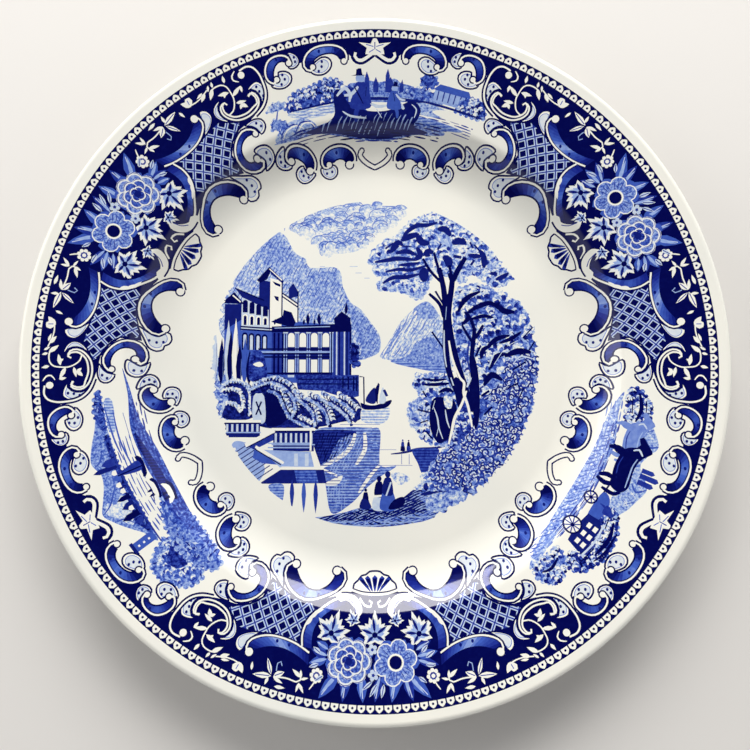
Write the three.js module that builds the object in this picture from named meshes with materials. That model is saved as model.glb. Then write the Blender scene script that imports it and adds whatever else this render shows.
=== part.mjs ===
// A ten-inch transfer-printed earthenware dinner plate, in millimetres, +Z up.
// The origin is the centre of the foot ring's resting face.
// The plate is a fired body, two printed colour layers on its face, and the glaze that seals them in.
// The glaze is wiped off the foot ring, so it is two skins: one over the face, edge and back, and one in the recess.
import * as THREE from "three";

// Outside sizes, all measured over the glaze.
const PLATE_RADIUS = 127;
const WELL_RADIUS = 71;
const WELL_HEIGHT = 7.2;
const THICKNESS = 4.2;

// The face rises from the flat well through a hollow curve, the cavetto and a rounded shoulder to the rim.
const CAVETTO_SLOPE = THREE.MathUtils.degToRad(40);
const CAVETTO_LENGTH = 2.5;
const RIM_SLOPE = THREE.MathUtils.degToRad(10.5);
const HOLLOW_RADIUS = 26;
const SHOULDER_RADIUS = 6;

// The foot ring, its bare resting edge and the recess inside it.
const FOOT_OUTER_RADIUS = 80.1;
const FOOT_INNER_RADIUS = 74.9;
const FOOT_DRAFT = 1.4;
const FOOT_CHAMFER = 0.9;
const GLAZE_LINE = 0.8;
const RECESS_HEIGHT = 2.6;

// The coats.
const GLAZE = 0.25;
const PRINT = 0.05;
const SCENE_PRINT_RADIUS = 62;
const BORDER_PRINT_INNER_RADIUS = 70;
const BORDER_PRINT_RADIUS = 122.3;

// Facets.
const TURNS = 72;
const HOLLOW_STEPS = 4;
const BACK_HOLLOW_STEPS = 2;
const SHOULDER_STEPS = 2;
const HALF_EDGE_STEPS = 2;

const biscuit = new THREE.MeshStandardMaterial({ color: 0xe2d8c4, roughness: 0.9, metalness: 0 });
const cobalt = new THREE.MeshStandardMaterial({ color: 0x1c2a86, roughness: 0.25, metalness: 0 });
const whiteGlaze = new THREE.MeshStandardMaterial({ color: 0xf0eee4, roughness: 0.1, metalness: 0 });

// A point of the half section: r from the axis, z above the table.
const at = (r, z) => new THREE.Vector2(r, z);
const onCircle = (centre, radius, angle) => at(centre.x + radius * Math.cos(angle), centre.y + radius * Math.sin(angle));

// Points of a circle from one angle to another, both ends included.
function arc(centre, radius, from, to, steps) {
  return Array.from({ length: steps + 1 }, (_, i) => onCircle(centre, radius, from + ((to - from) * i) / steps));
}

const QUARTER = Math.PI / 2;

// The centres that every layer's curves share, so the layers lie on each other all over.
const hollowCentre = at(WELL_RADIUS, WELL_HEIGHT + HOLLOW_RADIUS);
const hollowEnd = onCircle(hollowCentre, HOLLOW_RADIUS, CAVETTO_SLOPE - QUARTER);
const shoulderStart = at(
  hollowEnd.x + CAVETTO_LENGTH * Math.cos(CAVETTO_SLOPE),
  hollowEnd.y + CAVETTO_LENGTH * Math.sin(CAVETTO_SLOPE),
);
const shoulderCentre = onCircle(shoulderStart, SHOULDER_RADIUS, CAVETTO_SLOPE - QUARTER);
const shoulderEnd = onCircle(shoulderCentre, SHOULDER_RADIUS, RIM_SLOPE + QUARTER);
const edgeCentre = at(
  PLATE_RADIUS - THICKNESS / 2,
  shoulderEnd.y
    + (PLATE_RADIUS - THICKNESS / 2 - shoulderEnd.x) * Math.tan(RIM_SLOPE)
    - THICKNESS / 2 / Math.cos(RIM_SLOPE),
);

// The face at a depth below the glaze, from the edge of the flat well up to where the border print ends on the rim.
function slopingFace(depth) {
  const shoulder = arc(
    shoulderCentre, SHOULDER_RADIUS - depth, CAVETTO_SLOPE + QUARTER, RIM_SLOPE + QUARTER, SHOULDER_STEPS,
  );
  const last = shoulder[SHOULDER_STEPS];
  const printEnd = at(BORDER_PRINT_RADIUS, last.y + (BORDER_PRINT_RADIUS - last.x) * Math.tan(RIM_SLOPE));
  return [
    ...arc(hollowCentre, HOLLOW_RADIUS + depth, -QUARTER, CAVETTO_SLOPE - QUARTER, HOLLOW_STEPS),
    ...shoulder,
    printEnd,
  ];
}

// The rounded edge at a depth below the glaze, from the rim's face to its back.
function edge(depth) {
  const radius = THICKNESS / 2 - depth;
  return [
    ...arc(edgeCentre, radius, RIM_SLOPE + QUARTER, 0, HALF_EDGE_STEPS),
    ...arc(edgeCentre, radius, 0, RIM_SLOPE - QUARTER, HALF_EDGE_STEPS).slice(1),
  ];
}

// The back at a depth below the glaze, from the shoulder in to the foot ring and down its outer side.
function back(depth) {
  const hollow = HOLLOW_RADIUS + THICKNESS - depth;
  const footTop = Math.asin((FOOT_OUTER_RADIUS + FOOT_DRAFT - depth - WELL_RADIUS) / hollow);
  return [
    ...arc(
      shoulderCentre, SHOULDER_RADIUS - THICKNESS + depth, RIM_SLOPE + QUARTER, CAVETTO_SLOPE + QUARTER, SHOULDER_STEPS,
    ),
    ...arc(hollowCentre, hollow, CAVETTO_SLOPE - QUARTER, footTop - QUARTER, BACK_HOLLOW_STEPS),
    at(FOOT_OUTER_RADIUS - depth, GLAZE_LINE),
  ];
}

// The recess at a depth below the glaze, from the foot ring's inner side in to the axis.
function recess(depth) {
  return [
    at(FOOT_INNER_RADIUS + depth, GLAZE_LINE),
    at(FOOT_INNER_RADIUS - FOOT_DRAFT + depth, RECESS_HEIGHT + depth),
    at(0, RECESS_HEIGHT + depth),
  ];
}

// A closed half section turned about the plate's axis.
function turned(name, section, material) {
  const geometry = new THREE.LatheGeometry(section, TURNS).rotateX(Math.PI / 2);
  const mesh = new THREE.Mesh(geometry, material);
  mesh.name = name;
  return mesh;
}

// The fired body, with the bare resting edge of its foot ring.
function earthenwareBody() {
  return turned(
    "earthenware_body",
    [
      at(0, WELL_HEIGHT - GLAZE),
      ...slopingFace(GLAZE),
      ...edge(GLAZE),
      ...back(GLAZE),
      at(FOOT_OUTER_RADIUS - GLAZE - FOOT_CHAMFER, 0),
      at(FOOT_INNER_RADIUS + GLAZE + FOOT_CHAMFER, 0),
      ...recess(GLAZE),
    ].reverse(),
    biscuit,
  );
}

// Where the prints lie on the flat of the well.
const UNDER_PRINT = WELL_HEIGHT - GLAZE;
const OVER_PRINT = UNDER_PRINT + PRINT;

// The printed scene is a thin disc of colour on the flat well.
function scenePrint() {
  return turned(
    "scene_print",
    [
      at(0, OVER_PRINT),
      at(SCENE_PRINT_RADIUS, OVER_PRINT),
      at(SCENE_PRINT_RADIUS, UNDER_PRINT),
      at(0, UNDER_PRINT),
    ].reverse(),
    cobalt,
  );
}

// The printed border is a thin ring of colour from the edge of the well to the rim's white edge.
function borderPrint() {
  const above = [at(BORDER_PRINT_INNER_RADIUS, OVER_PRINT), ...slopingFace(GLAZE - PRINT)];
  const below = [at(BORDER_PRINT_INNER_RADIUS, UNDER_PRINT), ...slopingFace(GLAZE)];
  return turned("border_print", [...above, ...below.reverse(), above[0]].reverse(), cobalt);
}

// The glaze over the face, the edge and the back, hollowed where the two prints lie under it.
function faceGlaze() {
  const outside = [at(0, WELL_HEIGHT), ...slopingFace(0), ...edge(0), ...back(0)];
  const inside = [
    at(0, OVER_PRINT),
    at(SCENE_PRINT_RADIUS, OVER_PRINT),
    at(SCENE_PRINT_RADIUS, UNDER_PRINT),
    at(BORDER_PRINT_INNER_RADIUS, UNDER_PRINT),
    at(BORDER_PRINT_INNER_RADIUS, OVER_PRINT),
    ...slopingFace(GLAZE - PRINT),
    slopingFace(GLAZE).at(-1),
    ...edge(GLAZE),
    ...back(GLAZE),
  ];
  return turned("face_glaze", [...outside, ...inside.reverse()].reverse(), whiteGlaze);
}

// The glaze in the recess under the well.
function recessGlaze() {
  return turned("recess_glaze", [...recess(GLAZE).reverse(), ...recess(0)].reverse(), whiteGlaze);
}

const group = new THREE.Group();
group.add(earthenwareBody(), scenePrint(), borderPrint(), faceGlaze(), recessGlaze());

export default group;
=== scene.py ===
"""A transfer-printed earthenware dinner plate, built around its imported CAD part.

Five pieces stand for the five CAD nodes: the fired body, two printed films and two glaze skins.
A print is a flat drawing in millimetres, painted shape over shape. It is cut into one connected mesh with
the strength of the ink at every corner, and laid on the face of the plate.
"""
import math
import random

import bpy
import numpy as np
from mathutils.geometry import delaunay_2d_cdt
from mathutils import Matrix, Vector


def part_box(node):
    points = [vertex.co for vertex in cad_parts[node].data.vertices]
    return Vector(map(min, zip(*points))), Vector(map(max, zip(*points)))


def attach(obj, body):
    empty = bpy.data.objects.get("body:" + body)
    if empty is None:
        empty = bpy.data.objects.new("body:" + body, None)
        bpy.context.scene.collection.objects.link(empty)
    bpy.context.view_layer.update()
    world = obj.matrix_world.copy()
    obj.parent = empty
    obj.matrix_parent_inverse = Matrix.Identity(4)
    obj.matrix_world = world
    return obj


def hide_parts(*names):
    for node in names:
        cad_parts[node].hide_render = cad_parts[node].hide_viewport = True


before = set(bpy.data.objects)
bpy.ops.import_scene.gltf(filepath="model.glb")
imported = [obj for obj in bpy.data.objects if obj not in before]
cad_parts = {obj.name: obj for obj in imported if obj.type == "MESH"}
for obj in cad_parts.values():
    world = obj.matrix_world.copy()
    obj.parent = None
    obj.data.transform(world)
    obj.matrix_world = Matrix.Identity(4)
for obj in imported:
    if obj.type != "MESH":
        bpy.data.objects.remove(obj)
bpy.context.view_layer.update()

MM = 0.001

# Sizes read from the CAD part, in millimetres.
PLATE_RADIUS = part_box("face_glaze")[1].x / MM
GLAZE_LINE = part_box("face_glaze")[0].z / MM
SCENE_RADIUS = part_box("scene_print")[1].x / MM
BORDER_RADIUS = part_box("border_print")[1].x / MM
UNDER_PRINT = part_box("scene_print")[0].z / MM
FOOT_INNER_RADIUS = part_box("recess_glaze")[1].x / MM
RECESS_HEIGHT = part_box("recess_glaze")[1].z / MM

# The section of the plate, as in the CAD part.
GLAZE = 0.25
WELL_HEIGHT = UNDER_PRINT + GLAZE
WELL_RADIUS = 71.0
THICKNESS = 4.2
CAVETTO_SLOPE = math.radians(40)
CAVETTO_LENGTH = 2.5
RIM_SLOPE = math.radians(10.5)
HOLLOW_RADIUS = 26.0
SHOULDER_RADIUS = 6.0
FOOT_OUTER_RADIUS = 80.1
FOOT_DRAFT = 1.4
FOOT_CHAMFER = 0.9
BORDER_INNER_RADIUS = 70.0

# How finely the round shapes are cut, and how far a printed film stands on the glaze.
TURNS = 384
FILM_LIFT = 0.06
BORDER_GRID = 1.3
SCENE_GRID = 2.0
LINE_STEP = 1.0
EDGE_STEP = 1.3
HOLLOW_STEPS = 24
SHOULDER_STEPS = 10
EDGE_STEPS = 10

# At its edges a film keeps this share of its lift, and inward it gains a whole lift over the ramp.
EDGE_LIFT_SHARE = 0.15
LIFT_RAMP = 2

# Points of a drawing that are closer than this are joined, and an outline of less than this isn't drawn.
MERGE_DISTANCE = 1e-4
SMALLEST_DOUBLED_AREA = 2e-3

# Strength of the ink.
PAPER = 0.0
PALE = 0.18
LIGHT = 0.36
SOFT = 0.5
MID = 0.66
BLUE = 0.79
DEEP = 0.91
NAVY = 1.0

# How an area is engraved: the film has one material for each.
WASH, STIPPLE, LEAFY, RULED = range(4)

VIGNETTE_DIRECTIONS = (90, 210, 330)
BEADS = 246


# ---------------------------------------------------------------- the section of the plate

HOLLOW_END = (
    WELL_RADIUS + HOLLOW_RADIUS * math.sin(CAVETTO_SLOPE),
    WELL_HEIGHT + HOLLOW_RADIUS * (1 - math.cos(CAVETTO_SLOPE)),
)
SHOULDER_START = (
    HOLLOW_END[0] + CAVETTO_LENGTH * math.cos(CAVETTO_SLOPE),
    HOLLOW_END[1] + CAVETTO_LENGTH * math.sin(CAVETTO_SLOPE),
)
HOLLOW_CENTRE = (WELL_RADIUS, WELL_HEIGHT + HOLLOW_RADIUS)
SHOULDER_CENTRE = (
    SHOULDER_START[0] + SHOULDER_RADIUS * math.sin(CAVETTO_SLOPE),
    SHOULDER_START[1] - SHOULDER_RADIUS * math.cos(CAVETTO_SLOPE),
)
SHOULDER_END = (
    SHOULDER_CENTRE[0] - SHOULDER_RADIUS * math.sin(RIM_SLOPE),
    SHOULDER_CENTRE[1] + SHOULDER_RADIUS * math.cos(RIM_SLOPE),
)
EDGE_CENTRE = (
    PLATE_RADIUS - THICKNESS / 2,
    SHOULDER_END[1]
    + (PLATE_RADIUS - THICKNESS / 2 - SHOULDER_END[0]) * math.tan(RIM_SLOPE)
    - THICKNESS / 2 / math.cos(RIM_SLOPE),
)


def face_slope(r):
    """Slope of the face at a radius, in radians."""
    if r <= WELL_RADIUS:
        return 0.0
    if r <= HOLLOW_END[0]:
        return math.asin((r - WELL_RADIUS) / HOLLOW_RADIUS)
    if r <= SHOULDER_START[0]:
        return CAVETTO_SLOPE
    if r <= SHOULDER_END[0]:
        return math.asin((SHOULDER_CENTRE[0] - r) / SHOULDER_RADIUS)
    return RIM_SLOPE


def face_height(r):
    """Height of the glazed face at a radius."""
    slope = face_slope(r)
    if r <= WELL_RADIUS:
        return WELL_HEIGHT
    if r <= HOLLOW_END[0]:
        return WELL_HEIGHT + HOLLOW_RADIUS * (1 - math.cos(slope))
    if r <= SHOULDER_START[0]:
        return HOLLOW_END[1] + (r - HOLLOW_END[0]) * math.tan(slope)
    if r <= SHOULDER_END[0]:
        return SHOULDER_CENTRE[1] + SHOULDER_RADIUS * math.cos(slope)
    return SHOULDER_END[1] + (r - SHOULDER_END[0]) * math.tan(slope)


def arc(centre, radius, start, end, steps):
    """Points of a circle in the section, both ends included."""
    points = []
    for i in range(steps + 1):
        angle = start + (end - start) * i / steps
        points.append((centre[0] + radius * math.cos(angle), centre[1] + radius * math.sin(angle)))
    return points


QUARTER = math.pi / 2


def face_section(depth):
    """The face at a depth below the glaze, from the axis to the rounded edge."""
    flat = [(r, WELL_HEIGHT - depth) for r in (0, 20, 40, 60)]
    hollow = arc(HOLLOW_CENTRE, HOLLOW_RADIUS + depth, -QUARTER, CAVETTO_SLOPE - QUARTER, HOLLOW_STEPS)
    shoulder = arc(SHOULDER_CENTRE, SHOULDER_RADIUS - depth, CAVETTO_SLOPE + QUARTER, RIM_SLOPE + QUARTER,
                   SHOULDER_STEPS)
    radius = THICKNESS / 2 - depth
    return flat + hollow + shoulder + arc(EDGE_CENTRE, radius, RIM_SLOPE + QUARTER, 0, EDGE_STEPS)


def back_section(depth):
    """The back at a depth below the glaze, from the rounded edge to the outer side of the foot ring."""
    radius = THICKNESS / 2 - depth
    hollow = HOLLOW_RADIUS + THICKNESS - depth
    foot_top = math.asin((FOOT_OUTER_RADIUS + FOOT_DRAFT - depth - WELL_RADIUS) / hollow)
    edge = arc(EDGE_CENTRE, radius, 0, RIM_SLOPE - QUARTER, 10)[1:]
    shoulder = arc(
        SHOULDER_CENTRE, SHOULDER_RADIUS - THICKNESS + depth,
        RIM_SLOPE + QUARTER, CAVETTO_SLOPE + QUARTER, 6)
    under = arc(HOLLOW_CENTRE, hollow, CAVETTO_SLOPE - QUARTER, foot_top - QUARTER, 12)
    return edge + shoulder + under + [(FOOT_OUTER_RADIUS - depth, GLAZE_LINE)]


# ---------------------------------------------------------------- turned pieces

def turned(name, section):
    """A section turned about the plate's axis."""
    rings = []
    vertices = []
    for r, z in section:
        first = len(vertices)
        if r < 1e-6:
            vertices.append((0, 0, z * MM))
            rings.append([first] * TURNS)
            continue
        for i in range(TURNS):
            angle = 2 * math.pi * i / TURNS
            vertices.append((r * MM * math.cos(angle), r * MM * math.sin(angle), z * MM))
        rings.append(list(range(first, first + TURNS)))
    faces = []
    for low, high in zip(rings, rings[1:]):
        for i in range(TURNS):
            j = (i + 1) % TURNS
            corners = dict.fromkeys((low[i], high[i], high[j], low[j]))
            if len(corners) > 2:
                faces.append(tuple(corners)[::-1])
    mesh = bpy.data.meshes.new(name)
    mesh.from_pydata(vertices, [], faces)
    mesh.shade_smooth()
    mesh.set_sharp_from_angle(angle=math.radians(28))
    piece = bpy.data.objects.new(name, mesh)
    bpy.context.scene.collection.objects.link(piece)
    return piece


# ---------------------------------------------------------------- drawing with ink

def counterclockwise(outline):
    """The outline in counterclockwise order, or None where it has next to no area."""
    area = sum(a[0] * b[1] - b[0] * a[1] for a, b in zip(outline, outline[1:] + outline[:1]))
    if abs(area) < SMALLEST_DOUBLED_AREA:
        return None
    return outline if area > 0 else outline[::-1]


def within(point, outline):
    """Whether a point is inside an outline."""
    x, y = point
    odd = False
    for (ax, ay), (bx, by) in zip(outline, outline[1:] + outline[:1]):
        if (ay > y) != (by > y) and x < ax + (bx - ax) * (y - ay) / (by - ay):
            odd = not odd
    return odd


def scattered(outline, count, rng):
    """Random points inside an outline."""
    left, right = min(p[0] for p in outline), max(p[0] for p in outline)
    low, high = min(p[1] for p in outline), max(p[1] for p in outline)
    points = []
    while len(points) < count:
        point = (rng.uniform(left, right), rng.uniform(low, high))
        if within(point, outline):
            points.append(point)
    return points


def smoothed(points, closed=False):
    """A Catmull-Rom curve through the points, in steps of about LINE_STEP."""
    count = len(points)
    if count < 3:
        return list(points)
    curve = []
    for i in range(count if closed else count - 1):
        if closed:
            p = [points[(i + k) % count] for k in (-1, 0, 1, 2)]
        else:
            p = [points[min(max(i + k, 0), count - 1)] for k in (-1, 0, 1, 2)]
        steps = max(1, round(math.dist(p[1], p[2]) / LINE_STEP))
        for step in range(steps):
            t = step / steps
            weights = (
                (-t + 2 * t * t - t ** 3) / 2,
                (2 - 5 * t * t + 3 * t ** 3) / 2,
                (t + 4 * t * t - 3 * t ** 3) / 2,
                (-t * t + t ** 3) / 2,
            )
            curve.append(tuple(sum(w * q[axis] for w, q in zip(weights, p)) for axis in (0, 1)))
    if not closed:
        curve.append(points[-1])
    return curve


def even(track, count):
    """A line cut into equal lengths."""
    lengths = [0.0]
    for a, b in zip(track, track[1:]):
        lengths.append(lengths[-1] + math.dist(a, b))
    points = []
    k = 0
    for i in range(count + 1):
        wanted = lengths[-1] * i / count
        while k < len(track) - 2 and lengths[k + 1] < wanted:
            k += 1
        span = lengths[k + 1] - lengths[k] or 1.0
        t = (wanted - lengths[k]) / span
        a, b = track[k], track[k + 1]
        points.append((a[0] + (b[0] - a[0]) * t, a[1] + (b[1] - a[1]) * t))
    return points


def between(values, t):
    """The value at t, from 0 to 1, along evenly spaced values."""
    place = min(max(t, 0.0), 1.0) * (len(values) - 1)
    i = min(int(place), len(values) - 2)
    return values[i] + (values[i + 1] - values[i]) * (place - i)


def toward(track, other, distance):
    """A line moved a distance towards another with as many points, but never past halfway."""
    moved = []
    for a, b in zip(track, other):
        gap = math.dist(a, b) or 1.0
        share = min(distance / gap, 0.5)
        moved.append((a[0] + (b[0] - a[0]) * share, a[1] + (b[1] - a[1]) * share))
    return moved


class Pen:
    """Paints shapes on a sheet through a mapping from design coordinates to millimetres."""

    def __init__(self, sheet, place=lambda u, v: (u, v), window=None):
        self.sheet = sheet
        self.place = place
        self.window = window

    def fill(self, outline, ink, kind=WASH):
        """A painted outline, given in millimetres. Returns its number on the sheet."""
        outline = counterclockwise(list(outline))
        if outline:
            self.sheet.append((outline, ink, kind, self.window))
        return len(self.sheet) - 1

    def placed(self, points, smooth=True, closed=False):
        points = [self.place(u, v) for u, v in points]
        return smoothed(points, closed) if smooth else points

    def area(self, points, ink, kind=WASH, smooth=True):
        return self.fill(self.placed(points, smooth, True), ink, kind)

    def through(self, points, smooth=True):
        """A pen that only paints inside an outline."""
        number = self.area(points, None, smooth=smooth)
        return Pen(self.sheet, self.place, number)

    def track(self, track, width, ink, taper=1.0, kind=WASH):
        """A line of a width along points in millimetres, thinning to a share of it at both ends."""
        last = len(track) - 1
        sides = []
        for i, (x, y) in enumerate(track):
            ax, ay = track[max(i - 1, 0)]
            bx, by = track[min(i + 1, last)]
            length = math.hypot(bx - ax, by - ay) or 1.0
            half = width / 2 * (taper + (1 - taper) * math.sin(math.pi * i / last))
            nx, ny = -(by - ay) / length * half, (bx - ax) / length * half
            sides.append(((x + nx, y + ny), (x - nx, y - ny)))
        self.fill([a for a, _ in sides] + [b for _, b in reversed(sides)], ink, kind)

    def line(self, points, width, ink, taper=1.0, smooth=True, closed=False, kind=WASH):
        track = self.placed(points, smooth, closed)
        if closed:
            track += track[:2]
        self.track(track, width, ink, taper, kind)

    def disc(self, u, v, radius, ink, kind=WASH, sides=10, stretch=1.0):
        x, y = self.place(u, v)
        turn = 2 * math.pi / sides
        self.fill([(x + radius * math.cos(i * turn), y + radius * stretch * math.sin(i * turn))
                for i in range(sides)], ink, kind)

    def leaf(self, root, tip, width, ink, vein=None):
        """A pointed leaf with an optional vein."""
        (ax, ay), (bx, by) = self.place(*root), self.place(*tip)
        nx, ny = -(by - ay), bx - ax
        length = math.hypot(nx, ny) or 1.0
        nx, ny = nx / length * width / 2, ny / length * width / 2
        side = [(0.0, 0.0), (0.22, 0.75), (0.45, 1.0), (0.75, 0.6), (1.0, 0.0)]
        there = [(ax + (bx - ax) * t + nx * w, ay + (by - ay) * t + ny * w) for t, w in side]
        back = [(ax + (bx - ax) * t - nx * w, ay + (by - ay) * t - ny * w) for t, w in side[1:-1]]
        self.fill(there + back[::-1], ink)
        if vein is not None:
            middle = [(ax + (bx - ax) * t, ay + (by - ay) * t) for t in (0.1, 0.5, 0.85)]
            self.track(middle, 0.3, vein)

    def ear(self, outline, dots):
        """A shell-like ear beside a scroll: a pale lobe with an inner line and dots."""
        track = self.placed(outline, True, True)
        self.fill(track, PAPER)
        cx = sum(p[0] for p in track) / len(track)
        cy = sum(p[1] for p in track) / len(track)
        inner = [(cx + (x - cx) * 0.72, cy + (y - cy) * 0.72) for x, y in track]
        self.fill(inner, 0.1)
        self.track(inner + inner[:2], 0.25, SOFT)
        self.track(track + track[:2], 0.62, NAVY)
        for u, v in dots:
            self.disc(u, v, 0.48, DEEP, sides=8, stretch=1.2)

    def scroll(self, outer, inner, inks, balls=(), marks=()):
        """A curved band with a white line along its outer side that runs into its round ends."""
        steps = 16
        far = even(self.placed(outer), steps)
        near = even(self.placed(inner), steps)
        white = toward(far, near, 0.62)
        for i in range(steps):
            tone = between(inks, (i + 0.5) / steps) ** 0.6
            self.fill([far[i], far[i + 1], near[i + 1], near[i]], tone)
        for u, v in marks:
            self.disc(u, v, 0.5, DEEP, sides=8, stretch=1.3)
        for u, v, radius in balls:
            self.disc(u, v, radius + 0.5, NAVY, sides=16)
        self.track(toward(far, near, 1.15), 0.35, NAVY)
        self.track(far, 0.62, NAVY)
        self.track(near, 0.55, NAVY)
        self.track(white, 0.62, PAPER)
        for u, v, radius in balls:
            middle = self.place(u, v)
            end = min((white[0], white[-1]), key=lambda point: math.dist(point, middle))
            self.track([end, middle], 0.8, PAPER)
            self.disc(u, v, radius, PAPER, sides=14)


def around(sheet, direction, side=1):
    """A pen for the border: degrees to the right of a vignette's middle, and radius."""
    def place(degrees, radius):
        angle = math.radians(direction - side * degrees)
        return radius * math.cos(angle), radius * math.sin(angle)
    return Pen(sheet, place)


# ---------------------------------------------------------------- the border

def full_ring(pen, inner, outer, ink):
    """A full ring as one outline, with a seam where it starts and ends."""
    pen.area(
        [(i, outer) for i in range(361)] + [(360 - i, inner) for i in range(361)], ink, smooth=False)


def bead_band(pen):
    """The outer band of pointed white beads on navy."""
    full_ring(pen, 119.0, 122.1, NAVY)
    pitch = 360 / BEADS
    for i in range(BEADS):
        a = (i + 0.5) * pitch
        w = 0.42 * pitch
        pen.area(
            [(a - w, 119.35), (a + w, 119.35), (a + w, 120.6), (a + 0.5 * w, 121.35), (a, 121.75),
             (a - 0.5 * w, 121.35), (a - w, 120.6)], PAPER, smooth=False)
        pen.disc(a, 120.3, 0.42, NAVY, sides=8)


def navy_ground(pen):
    """The dark ground behind the scrolls and flowers of half a border section."""
    top = [(3 * i, 119.2) for i in range(21)]
    pen.area(
        top + [
            (60, 83.5), (54.5, 84.2), (52.3, 85.6), (50, 86.5), (47, 88.4), (44, 89.6), (40, 88.8),
            (37.5, 87.6), (34.8, 86.5), (34.8, 93), (33, 96.6), (30.5, 99.2), (27.6, 100.3), (26.2, 101.2),
            (24.4, 102.8), (22.8, 105.2), (22, 108), (21.7, 112), (21.2, 114.5), (20, 116.8), (18, 117.6),
            (16, 116), (14.4, 113.2), (13.7, 113.5), (12.8, 115.5), (11, 117.2), (9, 117.8), (7, 117),
            (5.5, 115), (4.5, 112.8), (3.4, 111.3), (2, 111.5), (0.6, 113.4), (0, 114)],
        NAVY, smooth=False)


LATTICE_WINDOW = [
    (33, 105), (36.5, 104), (39, 102.8), (42, 102.2), (45.4, 103), (45, 98), (45.3, 95), (46.4, 91.4),
    (46.2, 89.6), (43, 90), (40, 89.2), (37, 87.8), (35.4, 88), (35.4, 91.5), (34.6, 94.6), (33, 97.4),
    (30.8, 99.8), (29.8, 101.4), (31.6, 103),
]


def lattice(pen):
    """The panel of crossing double lines, drawn as rings of white round navy diamonds."""
    inside = pen.through(LATTICE_WINDOW)
    inside.area(LATTICE_WINDOW, BLUE)
    for row in range(-5, 3):
        r = 99.3 + 2.42 * row
        for column in range(-5, 3):
            a = 41 + 2.68 * (column + 0.5 * (row % 2))
            for wide, tall, ink in ((1.16, 2.1, 0.24), (0.84, 1.54, NAVY)):
                inside.area([(a - wide, r), (a, r - tall), (a + wide, r), (a, r + tall)], ink, smooth=False)


# Scrolls of half a border section: outer line, inner line, ink along it, balls and marks.
SCROLLS = [
    # over the vignette, beside the star
    ([(5.1, 111.6), (5, 113.6), (5.6, 116), (7, 117.7), (9, 118.4), (11, 118.1), (12.6, 116.6), (13.6, 114.3),
      (13.9, 112), (13.5, 110.2), (12.6, 109.3)],
     [(6.6, 112.2), (6.9, 113.4), (7.8, 114.5), (9, 114.8), (10.4, 114.4), (11.4, 113.4), (11.8, 112), (12, 111)],
     [NAVY, DEEP, SOFT, LIGHT, SOFT, DEEP, NAVY], [(5.9, 111.5, 0.95), (12, 111, 0.95)],
     [(7.3, 115.8), (10.3, 116)]),
    # next to it
    ([(15.8, 113.6), (15.6, 115.6), (16.4, 117.6), (18, 118.5), (19.8, 117.7), (21, 115), (21.4, 112),
      (21.1, 109.8), (20.2, 108.4)],
     [(16.6, 114.6), (17.2, 115.5), (18, 115.5), (18.8, 114.6), (19.4, 113), (19.7, 111.4), (19.6, 110.2)],
     [NAVY, DEEP, MID, SOFT, MID, BLUE, NAVY], [(16.2, 114.3, 1.0), (19.3, 110, 0.95)], [(18.2, 116.8)]),
    # over the lattice, opening outwards
    ([(47.4, 104.6), (45.5, 103.3), (43.5, 102.6), (41.5, 102.5), (39.4, 103), (37.5, 104.5), (36, 107),
      (35.7, 109.5), (36.2, 111.4)],
     [(47.8, 109.4), (46.2, 107.8), (44.2, 106.6), (42.3, 106.2), (40.4, 106.8), (39, 108), (37.8, 109.6)],
     [DEEP, MID, SOFT, PALE, SOFT, MID, NAVY], [(36.9, 110.9, 1.35)], [(41, 104.4), (43.4, 104.4)]),
    # beside the lattice, opening towards the vignette
    ([(27.2, 96.6), (28.4, 98.4), (30.2, 98.9), (32.4, 97), (34, 94), (34.8, 90.5), (34.5, 87), (33, 84.8),
      (31, 84), (29.4, 84.6), (28.7, 86.2)],
     [(28.4, 95.7), (29.6, 95.9), (31.2, 94.9), (32.4, 92.8), (32.8, 90.2), (32.4, 88.3), (31.4, 87.6),
      (30.6, 87.8)],
     [NAVY, BLUE, MID, LIGHT, MID, BLUE, MID, NAVY], [(27.8, 95.4, 0.95), (30.2, 88, 1.05)], [(33.4, 91.6)]),
    # over the well, beside the heart
    ([(5.2, 77.8), (5.1, 79.8), (5.9, 82), (7.6, 83.7), (10, 84.3), (12.5, 83.7), (14.4, 82), (15.3, 79.6),
      (15.1, 77.4), (14, 76.6)],
     [(8.2, 78), (8.8, 79), (9.8, 79.4), (11, 79.1), (11.8, 78.4)],
     [NAVY, NAVY, MID, LIGHT, SOFT, DEEP, NAVY], [(7.3, 76.8, 1.35), (13, 78, 1.0)], [(8.2, 81), (10.4, 81.6)]),
    # next to it
    ([(17, 77.2), (16.2, 79.4), (16.3, 82.4), (17.3, 85.2), (19, 87), (20.8, 87.7), (22.4, 87.3), (23.6, 85.8),
      (24, 84), (23.6, 82.4)],
     [(19.4, 79), (19.5, 80.6), (20.1, 82), (20.8, 83), (21.6, 83.6)],
     [NAVY, DEEP, MID, LIGHT, MID, DEEP, NAVY], [(18.7, 77.7, 1.25), (22.6, 82.9, 1.15)], [(18.9, 83.6)]),
    # the large one over the well, below the lattice
    ([(37.6, 79.4), (36.6, 81.4), (36.8, 84), (38.2, 86.8), (40.6, 88.9), (43.4, 89.8), (46, 89.1), (48.4, 87.2),
      (50.6, 85.2), (52.2, 82.8), (52.8, 80.2), (52.2, 77.8), (50.8, 76.7)],
     [(39.4, 81.2), (40.2, 82.6), (41.6, 84.4), (43.6, 85.7), (45.6, 85.8), (47.4, 84.7), (48.9, 82.5), (49.6, 80)],
     [NAVY, NAVY, BLUE, SOFT, PALE, SOFT, MID, BLUE, NAVY], [(38.9, 79.8, 1.3), (49.8, 78.3, 1.35)],
     [(43.2, 87.6), (46.6, 87)]),
]

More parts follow.
